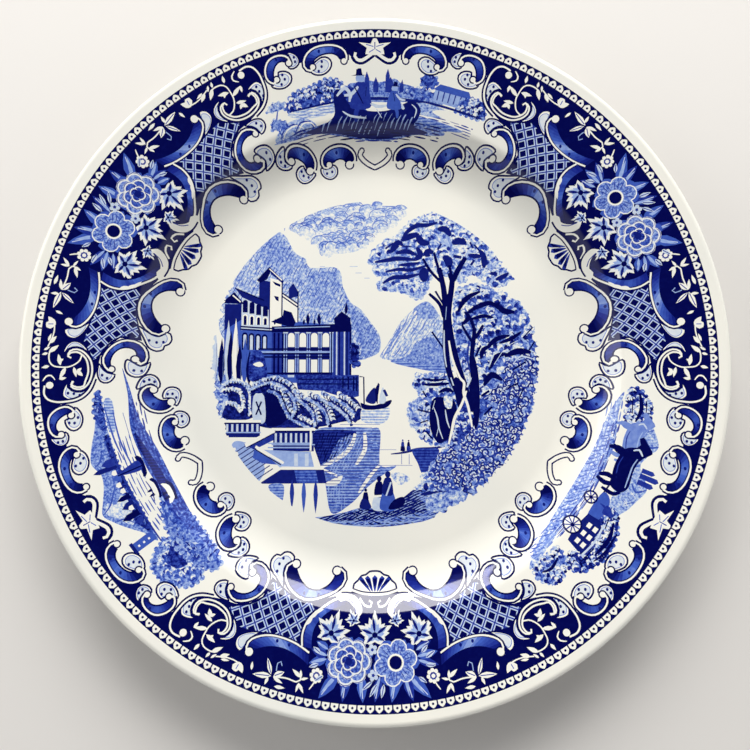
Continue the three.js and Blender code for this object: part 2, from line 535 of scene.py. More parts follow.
# Ears of half a border section: outline and dots.
EARS = [
    ([(10, 113.8), (8.8, 113.2), (8.3, 111.4), (8.8, 109.2), (10.2, 107.8), (11.8, 108.2), (12.6, 109.8),
      (11.8, 112)], [(10.1, 112.3), (10.3, 110.6), (11, 109.2)]),
    ([(15.9, 118), (14.8, 117), (14.2, 115), (14.5, 113), (15.6, 112), (16.5, 112.8), (15.7, 115)],
     [(15, 115.8), (15, 114.2)]),
    ([(18.6, 112.2), (17.2, 111.8), (16.4, 110), (16.8, 107.7), (18.3, 106.4), (19.9, 107), (20.7, 108.6),
      (19, 110)], [(18, 111), (17.8, 109.3), (18.7, 107.9)]),
    ([(22, 107.5), (22.2, 110), (23.1, 112), (24.6, 111.4), (25.6, 109.7), (24.6, 108.6), (24, 106.6),
    (24.2, 103.6),
      (23, 104.6)], [(23.5, 110.2), (23.3, 108.3), (22.9, 106.4)]),
    ([(31, 111.4), (32.3, 110.9), (33.2, 109.2), (33.3, 107), (32.6, 104.8), (31.6, 103.6), (31.9, 107.4)],
    []),
    ([(35.3, 112), (34.2, 111), (33.8, 108.6), (34.5, 106.4), (36, 104.6), (37.2, 104), (36.1, 107),
    (35.8, 109.8)],
     []),
    ([(29, 99.6), (27, 100.2), (25.3, 99.2), (24.9, 97), (25.5, 95.2), (26.6, 94.3), (27, 96.4),
    (27.9, 98.4)],
     [(26.6, 98.6), (25.9, 97)]),
    ([(30, 90.2), (28.4, 91), (26.7, 90.2), (25.9, 88.2), (26.2, 85.8), (27.6, 84.2), (29.6, 83.6),
    (28.6, 86.4)],
     [(27.5, 88.4), (27.4, 86.2)]),
    ([(12, 77.7), (11, 76.4), (11.2, 74.2), (12.4, 72.8), (13.8, 72.7), (15.1, 73.8), (15.8, 75.8),
    (15.4, 77.6),
      (13.8, 76.8)], [(12.6, 75.3), (14.2, 75.1)]),
    ([(17.4, 76.2), (18.9, 74.4), (20.5, 73.8), (22, 74.4), (22.8, 76.4), (22.6, 78.6), (21.4, 80),
    (20, 80.1),
      (19.8, 77.8)], [(21, 78.5), (20.9, 76.8), (19.7, 75.7)]),
    ([(23, 87.8), (24.8, 87.2), (26.1, 85.6), (26.5, 83.4), (25.7, 81.5), (24, 80.6), (22.8, 81.4),
    (24.1, 83.6)],
     [(24.8, 85.6), (25.2, 84), (24.6, 82.4)]),
    ([(38.2, 88.2), (35.6, 86.2), (33.4, 84.4), (32.6, 81.8), (33.2, 79.6), (34.2, 79.3), (34.8, 77.8),
    (36.2, 77),
      (37.7, 77.8), (38, 79), (36.6, 81.4), (37, 84.6)], [(35.2, 84.4), (34.9, 82), (35.2, 79.8)]),
]


def star(pen):
    """The star with two horns over a vignette, right half."""
    pen.line([(0.2, 113.6), (1.2, 112.2), (2.4, 110.9), (3.4, 111.2), (4, 112.6), (3.7, 114.2)], 2.2, NAVY)
    pen.line([(0.2, 113.9), (1.2, 112.6), (2.5, 111.3), (3.4, 111.7), (3.8, 112.9), (3.6, 114.2)], 1.2,
            PAPER, 0.8)
    pen.area(
        [(0, 118.9), (0.35, 118.7), (0.75, 117), (2.9, 117.6), (1.5, 115.6), (1.8, 113.4), (0, 113)],
        PAPER, smooth=False)
    pen.line([(0.25, 116), (1.6, 116.8)], 0.3, MID)
    pen.line([(0.2, 115), (1.1, 114)], 0.3, MID)
    pen.line([(0, 117.6), (0, 115)], 0.35, BLUE, smooth=False)


def cup(pen):
    """The cup of double lines that holds a tendril, beside the scrolls."""
    for width, ink in ((1.9, NAVY), (0.65, PAPER)):
        pen.line(
            [(25.2, 117.6), (23.8, 118), (22.7, 116.8), (22.1, 114), (22, 111), (22.1, 108), (22.7, 105.2),
             (24, 102.8), (26, 101.2)], width, ink)
    pen.disc(25.2, 116, 1.25, PAPER, sides=14)
    pen.line([(26, 118.2), (26.8, 117), (26.9, 115.4), (26.1, 114.2)], 0.6, PAPER, 0.5)
    for width, ink, shift in ((3.2, NAVY, 0.6), (0.62, PAPER, 1.3), (0.62, PAPER, 0.0)):
        pen.line(
            [(25.7, 108.2 + shift * 0.2), (24.7 + shift * 0.3, 109), (24.1 + shift * 0.3, 107.2),
             (24.2 + shift * 0.3, 105), (25.3 + shift * 0.15, 103 + shift), (27.4, 101.9 + shift),
             (29.6, 102.4 + shift), (31.2 - shift * 0.35, 104.6 + shift * 0.5), (31.8 - shift * 0.4, 107.2),
             (31.4 - shift * 0.3, 109.4), (30.4, 110), (30.1, 108.9)], width, ink)


def tendril(pen):
    """The vine with small blossoms that grows from the cup along the top of the navy ground."""
    pen.line([(30.9, 105.4), (29.7, 106), (28.9, 107.6), (28.4, 109.8), (28.4, 112.4), (28.6, 114.6),
            (29.4, 116), (30.8, 116.2), (31.6, 115.4)], 0.5, PAPER)
    for root, tip, width in (
        ((28.4, 110.6), (26.2, 112.8), 1.5), ((26.2, 112.9), (26.4, 110.4), 1.1),
        ((28.4, 108), (26.4, 107.2), 1.3),
        ((27.6, 107), (26.6, 105), 1.5), ((27.4, 107), (28.2, 105.4), 1.2),
        ((28.7, 112.4), (30.8, 113.2), 1.5),
        ((29.4, 113.2), (29.9, 111.4), 1.2), ((28.6, 116), (28.3, 118.6), 1.2),
        ((30.9, 116.6), (30.6, 118.6), 1.0),
        ((31, 116.4), (32.4, 113.2), 1.6), ((31.4, 118), (32, 116), 0.9), ((32.6, 116.4), (34, 114.2), 1.5),
        ((38.5, 115.8), (38.1, 113.2), 1.0), ((33, 116.8), (34.4, 116), 0.9),
    ):
        pen.leaf(root, tip, width, PAPER)
    pen.line([(32, 116.8), (33.6, 115.6), (35, 115.2), (36, 115.4)], 0.45, PAPER)
    pen.area([(35.4, 117.9), (35.2, 116.6), (36, 115), (36.9, 115.6), (37.3, 117.8), (36.5, 117.4),
            (36.2, 118.2)], PAPER)
    pen.line([(36, 117.4), (36.1, 115.8)], 0.3, MID)
    for root, tip, width in (
        ((42, 115.4), (38.9, 116.8), 2.0), ((41.6, 116), (41.4, 118.6), 1.1),
        ((42.4, 115.6), (44.2, 116.6), 1.2),
        ((41.9, 115), (40.4, 110.4), 1.5), ((42.4, 115.2), (44, 113), 2.1), ((43, 118.2), (44.8, 117.8), 1.2),
        ((46.9, 115.2), (48, 118), 1.1), ((46.9, 115), (46.7, 118.2), 1.0), ((47, 113.4), (45.2, 111.4), 1.3),
        ((47, 113.6), (46.7, 111), 1.1), ((47, 114), (48.3, 113), 0.9),
    ):
        pen.leaf(root, tip, width, PAPER, vein=BLUE if width > 1.4 else None)
    pen.line([(42.4, 115.4), (44.6, 114.7), (46.4, 115), (47, 114.2), (47, 113.2)], 0.5, PAPER)
    pen.line([(42.6, 113.4), (42.4, 111), (42.9, 110.2), (43.3, 111.4)], 0.35, LIGHT)
    for i in range(8):
        pen.disc(49.6 + 0.85 * math.cos(i * math.pi / 4), 111.8 + 1.8 * math.sin(i * math.pi / 4), 0.72,
                PAPER, sides=8)
    pen.disc(49.6, 111.8, 1.2, BLUE, sides=10)
    pen.disc(49.6, 111.8, 0.7, PAPER, sides=8)
    pen.line([(49.5, 113.6), (49.2, 115), (48.8, 116.4)], 0.5, PAPER, 0.5)


def side_band(pen):
    """The tall band between the lattice and the flowers, ending in a horn under them."""
    pen.scroll(
        [(45.5, 103.6), (45, 100.5), (45, 97.4), (45.5, 94.4), (46.6, 91.6), (48.4, 89), (50.4, 86.8),
        (52.6, 85.8),
         (54.8, 87)],
        [(47.9, 103.8), (47.5, 100.6), (47.5, 97.4), (48.2, 94.4), (49.4, 91.8), (51, 90), (52.8, 88.8),
        (53.6, 88.4)],
        [BLUE, MID, SOFT, MID, LIGHT, MID, DEEP, NAVY])
    pen.area([(52, 87.6), (53.2, 87), (54.6, 88), (55.8, 90), (56.2, 92.4), (57.2, 90.4), (57, 88),
            (55.8, 86), (54, 85), (52, 85.2), (50.6, 86.2)], PAPER)
    pen.line([(56.2, 92.4), (57.3, 90.2), (57, 87.8), (55.7, 85.6), (53.8, 84.7), (51.8, 85)], 0.55, NAVY)
    pen.line([(55.8, 90.6), (55.2, 88.2), (53.9, 86.6)], 0.3, BLUE)
    for root, tip in (((45.9, 94.6), (47.6, 91.6)), ((46.4, 92.6), (48.6, 90.4)),
            ((45.6, 96.8), (46.6, 93.6))):
        pen.leaf(root, tip, 1.2, PAPER)


def heart(pen):
    """The heart-shaped bracket at the edge of the well, right half."""
    points = [(0, 75.2), (1.8, 76.4), (3.4, 78.2), (4.1, 79.9), (3.7, 81.2)]
    pen.line(points, 2.3, NAVY)
    pen.disc(3.5, 81.3, 1.15, NAVY)
    pen.line(points, 1.25, PAPER)
    pen.disc(3.5, 81.3, 0.62, PAPER)


def heart_tip(pen):
    """The point of the bracket, drawn over both of its halves."""
    for width, ink in ((2.3, NAVY), (1.25, PAPER)):
        pen.line([(-1.8, 76.4), (0, 75.2), (1.8, 76.4)], width, ink, smooth=False)


def shell(pen):
    """The fluted shell below the flowers."""
    edge = [(54.6, 83.4), (54.7, 81.8), (55.6, 80.6), (56.4, 79), (57.6, 78.5), (58.6, 77.4), (60, 77.2),
            (61.4, 77.4), (62.4, 78.5), (63.6, 79), (64.4, 80.6), (65.3, 81.8), (65.4, 83.4), (60, 85)]
    pen.area(edge, PAPER)
    pen.line(edge[:-1], 0.62, NAVY)
    for left, right in ((55.6, 57.4), (57.2, 59), (59.1, 60.9), (61, 62.8), (62.6, 64.4)):
        middle = (left + right) / 2
        reach = 79 + 0.055 * (middle - 60) ** 2
        pen.area([(left + 0.2, reach + 0.5), (middle, reach - 0.4), (right - 0.2, reach + 0.5),
                  (60 + (middle - 60) * 0.3, 84)], BLUE)
        pen.area([(middle - 0.5, reach + 0.7), (middle + 0.5, reach + 0.7),
                (60 + (middle - 60) * 0.42, 82.6)], NAVY)
    pen.line([(54.6, 83.9), (57, 84.6), (60, 84.8), (63, 84.6), (65.4, 83.9)], 1.5, NAVY)
    pen.line([(54.6, 83.9), (57, 84.6), (60, 84.8), (63, 84.6), (65.4, 83.9)], 0.7, PAPER)
    for side in (-1, 1):
        pen.line(
            [(60 + side * 3.6, 86), (60 + side * 2.4, 88), (60 + side * 1, 88.4), (60 + side * 0.7, 87.2),
             (60 + side * 1.4, 86.6)], 0.6, PAPER)


def lobed_leaf(pen, u, v, size, turn):
    """A vine leaf: five toothed lobes of pointed blades, with blue shading along the veins."""
    cx, cy = pen.place(u, v)
    ox, oy = pen.place(u, v + 1)
    heading = math.atan2(oy - cy, ox - cx) + math.radians(turn)
    flat = Pen(pen.sheet)
    lobes = [(heading + math.radians(angle), size * reach) for angle, reach in (
        (-125, 0.7), (-62, 0.95), (0, 1.1), (62, 0.95), (125, 0.7))]
    for grow, ink in ((1.0, 0.04), (0.66, LIGHT)):
        for angle, reach in lobes:
            for spread, share in ((-0.34, 0.76), (0.34, 0.76), (0, 1.0)):
                tip = (cx + reach * share * grow * math.cos(angle + spread),
                       cy + reach * share * grow * math.sin(angle + spread))
                flat.leaf((cx, cy), tip, size * 0.36 * grow, ink)
    for angle, reach in lobes:
        flat.leaf((cx + 0.1 * reach * math.cos(angle), cy + 0.1 * reach * math.sin(angle)),
                  (cx + 0.78 * reach * math.cos(angle + 0.12), cy + 0.78 * reach * math.sin(angle + 0.12)),
                  size * 0.15, DEEP)
    flat.disc(cx, cy, size * 0.14, NAVY, sides=8)


def daisy(pen, u, v, size):
    """A flower with six broad petals and a dark middle."""
    cx, cy = pen.place(u, v)
    for i in range(9):
        angle = math.radians(40 * i)
        pen.fill(blob(cx + size * 0.7 * math.cos(angle), cy + size * 0.7 * math.sin(angle), size * 0.38,
                      random.Random(i)), MID)
    for grow, ink in ((1.0, 0.04), (0.86, 0.5)):
        for i in range(6):
            angle = math.radians(60 * i + 18)
            px, py = cx + size * 0.62 * math.cos(angle), cy + size * 0.62 * math.sin(angle)
            petal = []
            for j in range(12):
                t = 2 * math.pi * j / 12
                along, across = math.cos(t) * size * 0.4 * grow, math.sin(t) * size * 0.4 * grow
                petal.append((px + along * math.cos(angle) - across * math.sin(angle),
                              py + along * math.sin(angle) + across * math.cos(angle)))
            pen.fill(petal, ink, STIPPLE)
            if grow < 1:
                for spread in (-0.28, 0, 0.28):
                    a = angle + spread
                    pen.track([(cx + size * t * math.cos(a), cy + size * t * math.sin(a))
                            for t in (0.4, 0.6, 0.8)], 0.32, BLUE, 0.4)
    pen.disc(u, v, size * 0.38, PAPER, sides=16)
    pen.disc(u, v, size * 0.29, NAVY, sides=16)


def rose(pen, u, v, size):
    """A full rose: overlapping petals around a dark heart."""
    cx, cy = pen.place(u, v)
    for i in range(9):
        angle = math.radians(40 * i + 20)
        pen.fill(blob(cx + size * 0.78 * math.cos(angle), cy + size * 0.78 * math.sin(angle), size * 0.34,
                      random.Random(i)), MID)
    for ring, petals, reach, radius in ((0, 7, 0.66, 0.38), (1, 6, 0.42, 0.32), (2, 4, 0.2, 0.22)):
        for i in range(petals):
            angle = 2 * math.pi * (i + 0.4 * ring) / petals
            px, py = cx + size * reach * math.cos(angle), cy + size * reach * math.sin(angle)
            outline = [(px + size * radius * math.cos(t * math.pi / 6),
                    py + size * radius * math.sin(t * math.pi / 6)) for t in range(12)]
            pen.fill(outline, 0.06)
            shade = [(px + (x - px) * 0.84 - size * 0.07 * math.cos(angle),
                      py + (y - py) * 0.84 - size * 0.07 * math.sin(angle)) for x, y in outline]
            pen.fill(shade, (SOFT, MID, BLUE)[ring], STIPPLE)
            pen.track([(px + size * radius * 0.92 * math.cos(angle + t),
                    py + size * radius * 0.92 * math.sin(angle + t)) for t in (-1.1, -0.6, 0, 0.6, 1.1)],
                    0.3, BLUE, 0.4)
    pen.disc(u, v, size * 0.16, DEEP, sides=10)


def flowers(pen):
    """The panel of flowers between two vignettes, centred 60 degrees from each."""
    for root, tip, width, ink in (
        ((54, 110), (50.6, 118.6), 4.0, MID), ((54.6, 110), (53.6, 118.8), 3.4, BLUE),
        ((56, 110), (57.2, 118.6), 3.6, MID),
        ((59, 110), (60, 118.4), 3.0, BLUE), ((62.4, 110), (62, 118.6), 3.6, MID),
        ((65, 110), (65.4, 118.8), 3.4, BLUE),
        ((66.6, 110), (69.4, 118.6), 4.0, MID), ((52, 106), (48.2, 108.8), 3.0, BLUE),
        ((52, 105), (47.9, 104.4), 3.2, MID),
        ((52, 103), (48.8, 100.6), 2.8, BLUE), ((69, 106), (72.2, 108.4), 3.4, MID),
        ((69, 105), (72.3, 103.8), 3.4, BLUE),
        ((69, 103), (71.6, 101), 2.8, MID),
    ):
        pen.leaf(root, tip, width, ink, vein=PALE)
        pen.leaf(root, (root[0] + (tip[0] - root[0]) * 0.8 + 0.35, root[1] + (tip[1] - root[1]) * 0.8),
                width * 0.34, LIGHT)
    for u, v, size, turn in (
        (50.9, 97.9, 7.0, 190), (60, 97.2, 7.2, 180), (69, 97.7, 7.2, 168), (55.6, 92.8, 3.4, 150),
        (64.6, 92.8, 3.4, 205),
    ):
        lobed_leaf(pen, u, v, size, turn)
    for root, tip, width in (
        ((58.4, 112.8), (58.9, 117.2), 1.6), ((59.6, 112.6), (60.9, 116.8), 1.5),
        ((60.4, 111.8), (62.2, 114.8), 1.4),
        ((50.4, 105.8), (48.4, 104), 1.6), ((51, 104), (49.6, 101.8), 1.6), ((50.6, 108), (48.8, 108.8), 1.4),
        ((70.4, 108), (72, 109.6), 1.6), ((70.4, 104.6), (72, 103), 1.6), ((52.2, 111.4), (50.9, 113.6), 1.4),
        ((69.2, 111.4), (70.6, 113.6), 1.4),
    ):
        pen.leaf(root, tip, width, PALE, vein=BLUE)
    daisy(pen, 56.1, 106.2, 7.6)
    rose(pen, 64.9, 106.0, 7.7)
    for u, v in ((60.3, 110), (60.5, 101.9)):
        for i in range(5):
            pen.disc(u + 0.62 * math.cos(i * 1.257), v + 1.15 * math.sin(i * 1.257), 0.75, PALE, sides=8)
        pen.disc(u, v, 0.5, BLUE, sides=8)


def border_half(pen):
    """Everything that is drawn once in each half of a sector of the border."""
    navy_ground(pen)
    lattice(pen)
    for outline, dots in EARS:
        pen.ear(outline, dots)
    cup(pen)
    tendril(pen)
    star(pen)
    heart(pen)
    for scroll in SCROLLS:
        pen.scroll(*scroll)


# ---------------------------------------------------------------- landscapes

def foliage(pen, outline, ink, dabs, seed, size=1.2, spread=0.34):
    """A mass of leaves with a bumpy edge, and lighter and darker dabs all over."""
    rng = random.Random(seed)
    track = pen.placed(outline, True, True)
    ink = min(ink + 0.06, 1.0)
    for x, y in even(track + track[:1], max(8, len(track) // 2)):
        radius = size * rng.uniform(0.6, 1.15)
        sides = 7
        pen.fill([(x + radius * math.cos(i * 2 * math.pi / sides + radius), y + radius * math.sin(
            i * 2 * math.pi / sides + radius)) for i in range(sides)], ink * 0.75, LEAFY)
    pen.fill(track, ink, LEAFY)
    for x, y in scattered(track, dabs, rng):
        angle = rng.uniform(0, math.pi)
        length = size * rng.uniform(0.7, 1.5)
        tone = min(1.0, max(0.0, ink + rng.uniform(-spread, spread)))
        dx, dy = math.cos(angle) * length, math.sin(angle) * length
        pen.fill([(x - dx, y - dy), (x - dy * 0.35, y + dx * 0.35), (x + dx, y + dy),
                (x + dy * 0.35, y - dx * 0.35)], tone)


def blob(x, y, radius, rng, sides=9):
    """A lumpy outline around a point."""
    points = []
    for i in range(sides):
        reach = radius * rng.uniform(0.65, 1.15)
        angle = 2 * math.pi * i / sides
        points.append((x + reach * math.cos(angle), y + reach * math.sin(angle)))
    return points


def clumps(pen, outline, count, seed, size=1.3, light=PALE, dark=DEEP, kind=LEAFY):
    """Bunches of leaves, each pale on top and dark below, from the top of a mass down to its foot."""
    rng = random.Random(seed)
    spots = scattered(pen.placed(outline, True, True), count, rng)
    for x, y in sorted(spots, key=lambda spot: -spot[1]):
        reach = size * rng.uniform(0.7, 1.2)
        pen.fill(blob(x - 0.2 * reach, y + 0.35 * reach, reach, rng), light, kind)
        pen.fill(blob(x + 0.2 * reach, y - 0.25 * reach, reach * 0.82, rng), dark - rng.uniform(0, 0.3), kind)


def scallops(pen, points, radius, seed, light=PALE):
    """A clipped edge of leaves: small tufts along a line, pale on top and dark below."""
    rng = random.Random(seed)
    track = pen.placed(points)
    length = sum(math.dist(a, b) for a, b in zip(track, track[1:]))
    for x, y in even(track, max(2, round(length / (radius * 1.15)))):
        pen.fill(blob(x - 0.3, y + 0.35, radius, rng, 8), light, LEAFY)
        pen.fill(blob(x + 0.3, y - 0.4, radius * 0.92, rng, 8), rng.choice((DEEP, NAVY)))


def hatch(pen, outline, angle, gap, width, ink, seed):
    """Parallel engraved strokes across an area, broken here and there."""
    rng = random.Random(seed)
    inside = pen.through(outline)
    track = pen.placed(outline, True, True)
    middle = [sum(p[axis] for p in track) / len(track) for axis in (0, 1)]
    reach = max(math.dist(p, middle) for p in track)
    ux, uy = math.cos(math.radians(angle)), math.sin(math.radians(angle))
    across = -reach
    while across < reach:
        along = -reach + rng.uniform(0, 4)
        while along < reach:
            length = rng.uniform(2.5, 7)
            stops = []
            for t in (0, 0.5, 1):
                far = along + t * length
                bend = 0.25 * math.sin(math.pi * t)
                stops.append((middle[0] + ux * far - uy * (across + bend),
                        middle[1] + uy * far + ux * (across + bend)))
            if within(stops[1], track):
                inside.track(stops, width * rng.uniform(0.6, 1.4), ink, 0.3)
            along += length + rng.uniform(0.3, 1.4)
        across += gap * rng.uniform(0.8, 1.2)


def puffs(pen, outline, count, seed, size, ink):
    """Billows of cloud: scalloped arcs, shaded inside along their upper edge."""
    rng = random.Random(seed)
    spots = scattered(pen.placed(outline, True, True), count, rng)
    for x, y in sorted(spots, key=lambda spot: -spot[1]):
        radius = size * rng.uniform(0.6, 1.25)
        lean = rng.uniform(-0.3, 0.6)
        rim = [(x + radius * math.cos(lean + t), y + radius * 0.85 * math.sin(lean + t))
               for t in (0.1, 0.6, 1.1, 1.6, 2.1, 2.6, 3.1, 3.6)]
        pen.fill(rim, ink * rng.uniform(0.5, 1.3), STIPPLE)
        heart = [(x + 0.25 * radius + 0.6 * radius * math.cos(0.8 * t),
                y - 0.3 * radius + 0.55 * radius * math.sin(0.8 * t)) for t in range(8)]
        pen.fill(heart, ink * 0.3, STIPPLE)
        pen.track(rim, 0.32, ink + 0.28, 0.3)


def curls(pen, outline, count, seed, size=1.3):
    """Curling leaves of a shrubby bank: pale rings with dark hooks."""
    rng = random.Random(seed)
    for x, y in scattered(pen.placed(outline, True, True), count, rng):
        start = rng.uniform(0, 2 * math.pi)
        radius = size * rng.uniform(0.6, 1.1)
        hook = [(x + radius * math.cos(start + t), y + radius * math.sin(start + t))
                for t in (0, 0.8, 1.6, 2.4, 3.2)]
        pen.track(hook, 0.6, rng.choice((BLUE, DEEP)), 0.4)
        light = [(x + radius * 0.5 * math.cos(start + t), y + radius * 0.5 * math.sin(start + t))
                 for t in (0.4, 1.4, 2.4, 3.4)]
        pen.track(light, 0.45, 0.12, 0.4)


def rules(pen, left, right, low, high, ink, seed, gap=1.1, width=0.38):
    """Level lines of still water, broken here and there."""
    rng = random.Random(seed)
    y = low
    while y < high:
        x = left + rng.uniform(0, 3)
        while x < right:
            length = rng.uniform(4, 11)
            pen.line([(x, y), (min(x + length, right), y)], width * rng.uniform(0.7, 1.3), ink, smooth=False)
            x += length + rng.uniform(0.5, 2.5)
        y += gap


def arch(pen, x, low, high, width, ink):
    """A round-headed opening."""
    half = width / 2
    head = [(x + half * math.cos(t * math.pi / 6), high - half + half * math.sin(t * math.pi / 6))
            for t in range(7)]
    pen.area([(x + half, low)] + head + [(x - half, low)], ink, smooth=False)


def clouds(pen):
    """Billowing clouds over the mountain."""
    bank = [(-33, 51), (-31, 53), (-28, 57), (-24, 59.5), (-18, 60), (-10, 60.4), (-2, 60.6), (6, 60),
            (12, 57.6), (8, 54), (2, 51), (-3, 47), (-6, 43), (-12, 41.6), (-20, 42), (-22, 45),
            (-20, 48.6), (-27, 48.6)]
    pen.area(bank, 0.14, STIPPLE)
    puffs(pen, bank, 80, 70, 2.9, 0.24)
    puffs(pen, [(-30, 51), (-27, 55.6), (-21, 57.6), (-15, 57), (-14, 52), (-19, 49.6), (-26, 50)], 16, 71,
            2.4, 0.36)
    puffs(pen, [(-11, 53), (-8, 57), (-3, 57), (-2, 53), (-7, 51)], 8, 73, 2.4, 0.34)
    puffs(pen, [(-20, 42), (-14, 43), (-6, 44), (-1, 48), (1, 50), (-6, 50), (-12, 47), (-19, 45)], 18, 72,
            2.0, 0.34)
    for points in (
        [(-34.6, 50.4), (-34.2, 52.8), (-31.6, 53.6)],
        [(-30.4, 55), (-28.4, 57.8), (-25, 59.8), (-20.6, 60.8)],
        [(-15, 47.2), (-13, 49.6), (-10, 49)], [(-11.6, 57), (-9, 60.4), (-4, 60.2)],
        [(3, 60), (8, 59.8), (11, 58.8)],
    ):
        pen.line(points, 0.45, SOFT, 0.3)
    for x, y, length in ((-9.6, 36.5, 3), (-7.4, 34, 2.4), (-4, 32, 2), (-21, 36.5, 2)):
        pen.line([(x, y), (x + length, y)], 0.6, LIGHT, 0.3)


def mountains(pen):
    """The two mountains behind the palace and the lake."""
    left = [(-57, 29.5), (-53.5, 35), (-49, 40), (-44, 45), (-40.5, 48.6), (-37, 50), (-34, 48),
            (-31, 42.5), (-28.5, 40.5), (-26.5, 39.5), (-25, 36.2), (-20, 36), (-15.5, 36.2), (-13, 34),
            (-12, 28), (-9, 22.5), (-5.4, 20), (-2, 15.5), (1, 11.5), (2.2, 8), (1.6, 3.6), (-3, 1.4),
            (-8, -0.6), (-40, -1), (-58, 10)]
    pen.area(left, 0.3, STIPPLE)
    for outline, ink in (
        ([(-44, 44), (-40, 48), (-36.5, 48.4), (-33, 44), (-30, 39), (-33, 33), (-39, 36), (-43, 39)], 0.4),
        ([(-12, 28), (-9, 22), (-3, 16), (1, 10), (1.6, 4), (-4, 1.6), (-6, 8), (-9, 16)], 0.44),
        ([(-25, 34), (-20, 34.6), (-15, 34), (-13.4, 28), (-16, 22), (-22, 20), (-26, 27)], 0.38),
    ):
        pen.area(outline, ink, STIPPLE)
    right = [(2, 2), (4.4, 6), (7, 10.5), (10, 15.5), (14.5, 19.8), (19, 23), (22, 21.4), (25, 17),
            (28, 13), (30, 4), (28, -3), (14, -1.2), (5, 0.6)]
    pen.area(right, 0.2, STIPPLE)
    pen.area([(14.5, 19.8), (19, 23), (22, 21.4), (24, 17), (19, 16.4), (15.6, 17)], 0.42, STIPPLE)
    pen.area([(2.4, 2.6), (5, 6), (7.4, 10), (9.6, 13), (8.6, 8), (5.6, 3.6)], 0.46, STIPPLE)
    pen.area([(12, 2), (15, 6), (19, 9), (26, 8.4), (28, 3), (27, -3), (14, -1.4), (6, 0.4)], 0.46, STIPPLE)
    hatch(pen, left, 62, 1.3, 0.3, MID, 74)
    hatch(pen, right, 58, 1.1, 0.36, SOFT, 75)
    hatch(pen, [(3, 3), (10, 15), (14.5, 19.8), (16, 17), (10, 6), (6, 1)], 60, 1.3, 0.6, PAPER, 76)
    for start, end in (((10, 15), (6, 8)), ((12.6, 17.4), (8.6, 10)), ((15, 18), (11, 11)),
                       ((17, 16), (13.6, 10.4)),
                       ((19.4, 15.6), (16.4, 11)), ((10, 6.4), (6.6, 1.6)), ((13, 5), (10, 2))):
        pen.line([start, ((start[0] + end[0]) / 2 + 0.5, (start[1] + end[1]) / 2), end], 0.55, SOFT, 0.3)


def lake(pen):
    """The far water between the palace and the tall tree."""
    pen.area([(-8, -0.4), (2, 1), (14, -1.2), (27, -4), (28, -26), (-6, -26), (-6.5, -8)], PAPER)
    pen.area([(6, 0.4), (14, -0.4), (28, -2.2), (28, -4.6), (16, -2.6), (8, -0.8)], SOFT, RULED)


def roof(pen, points, ink):
    """A roof, with straight edges."""
    pen.area(points, ink, smooth=False)


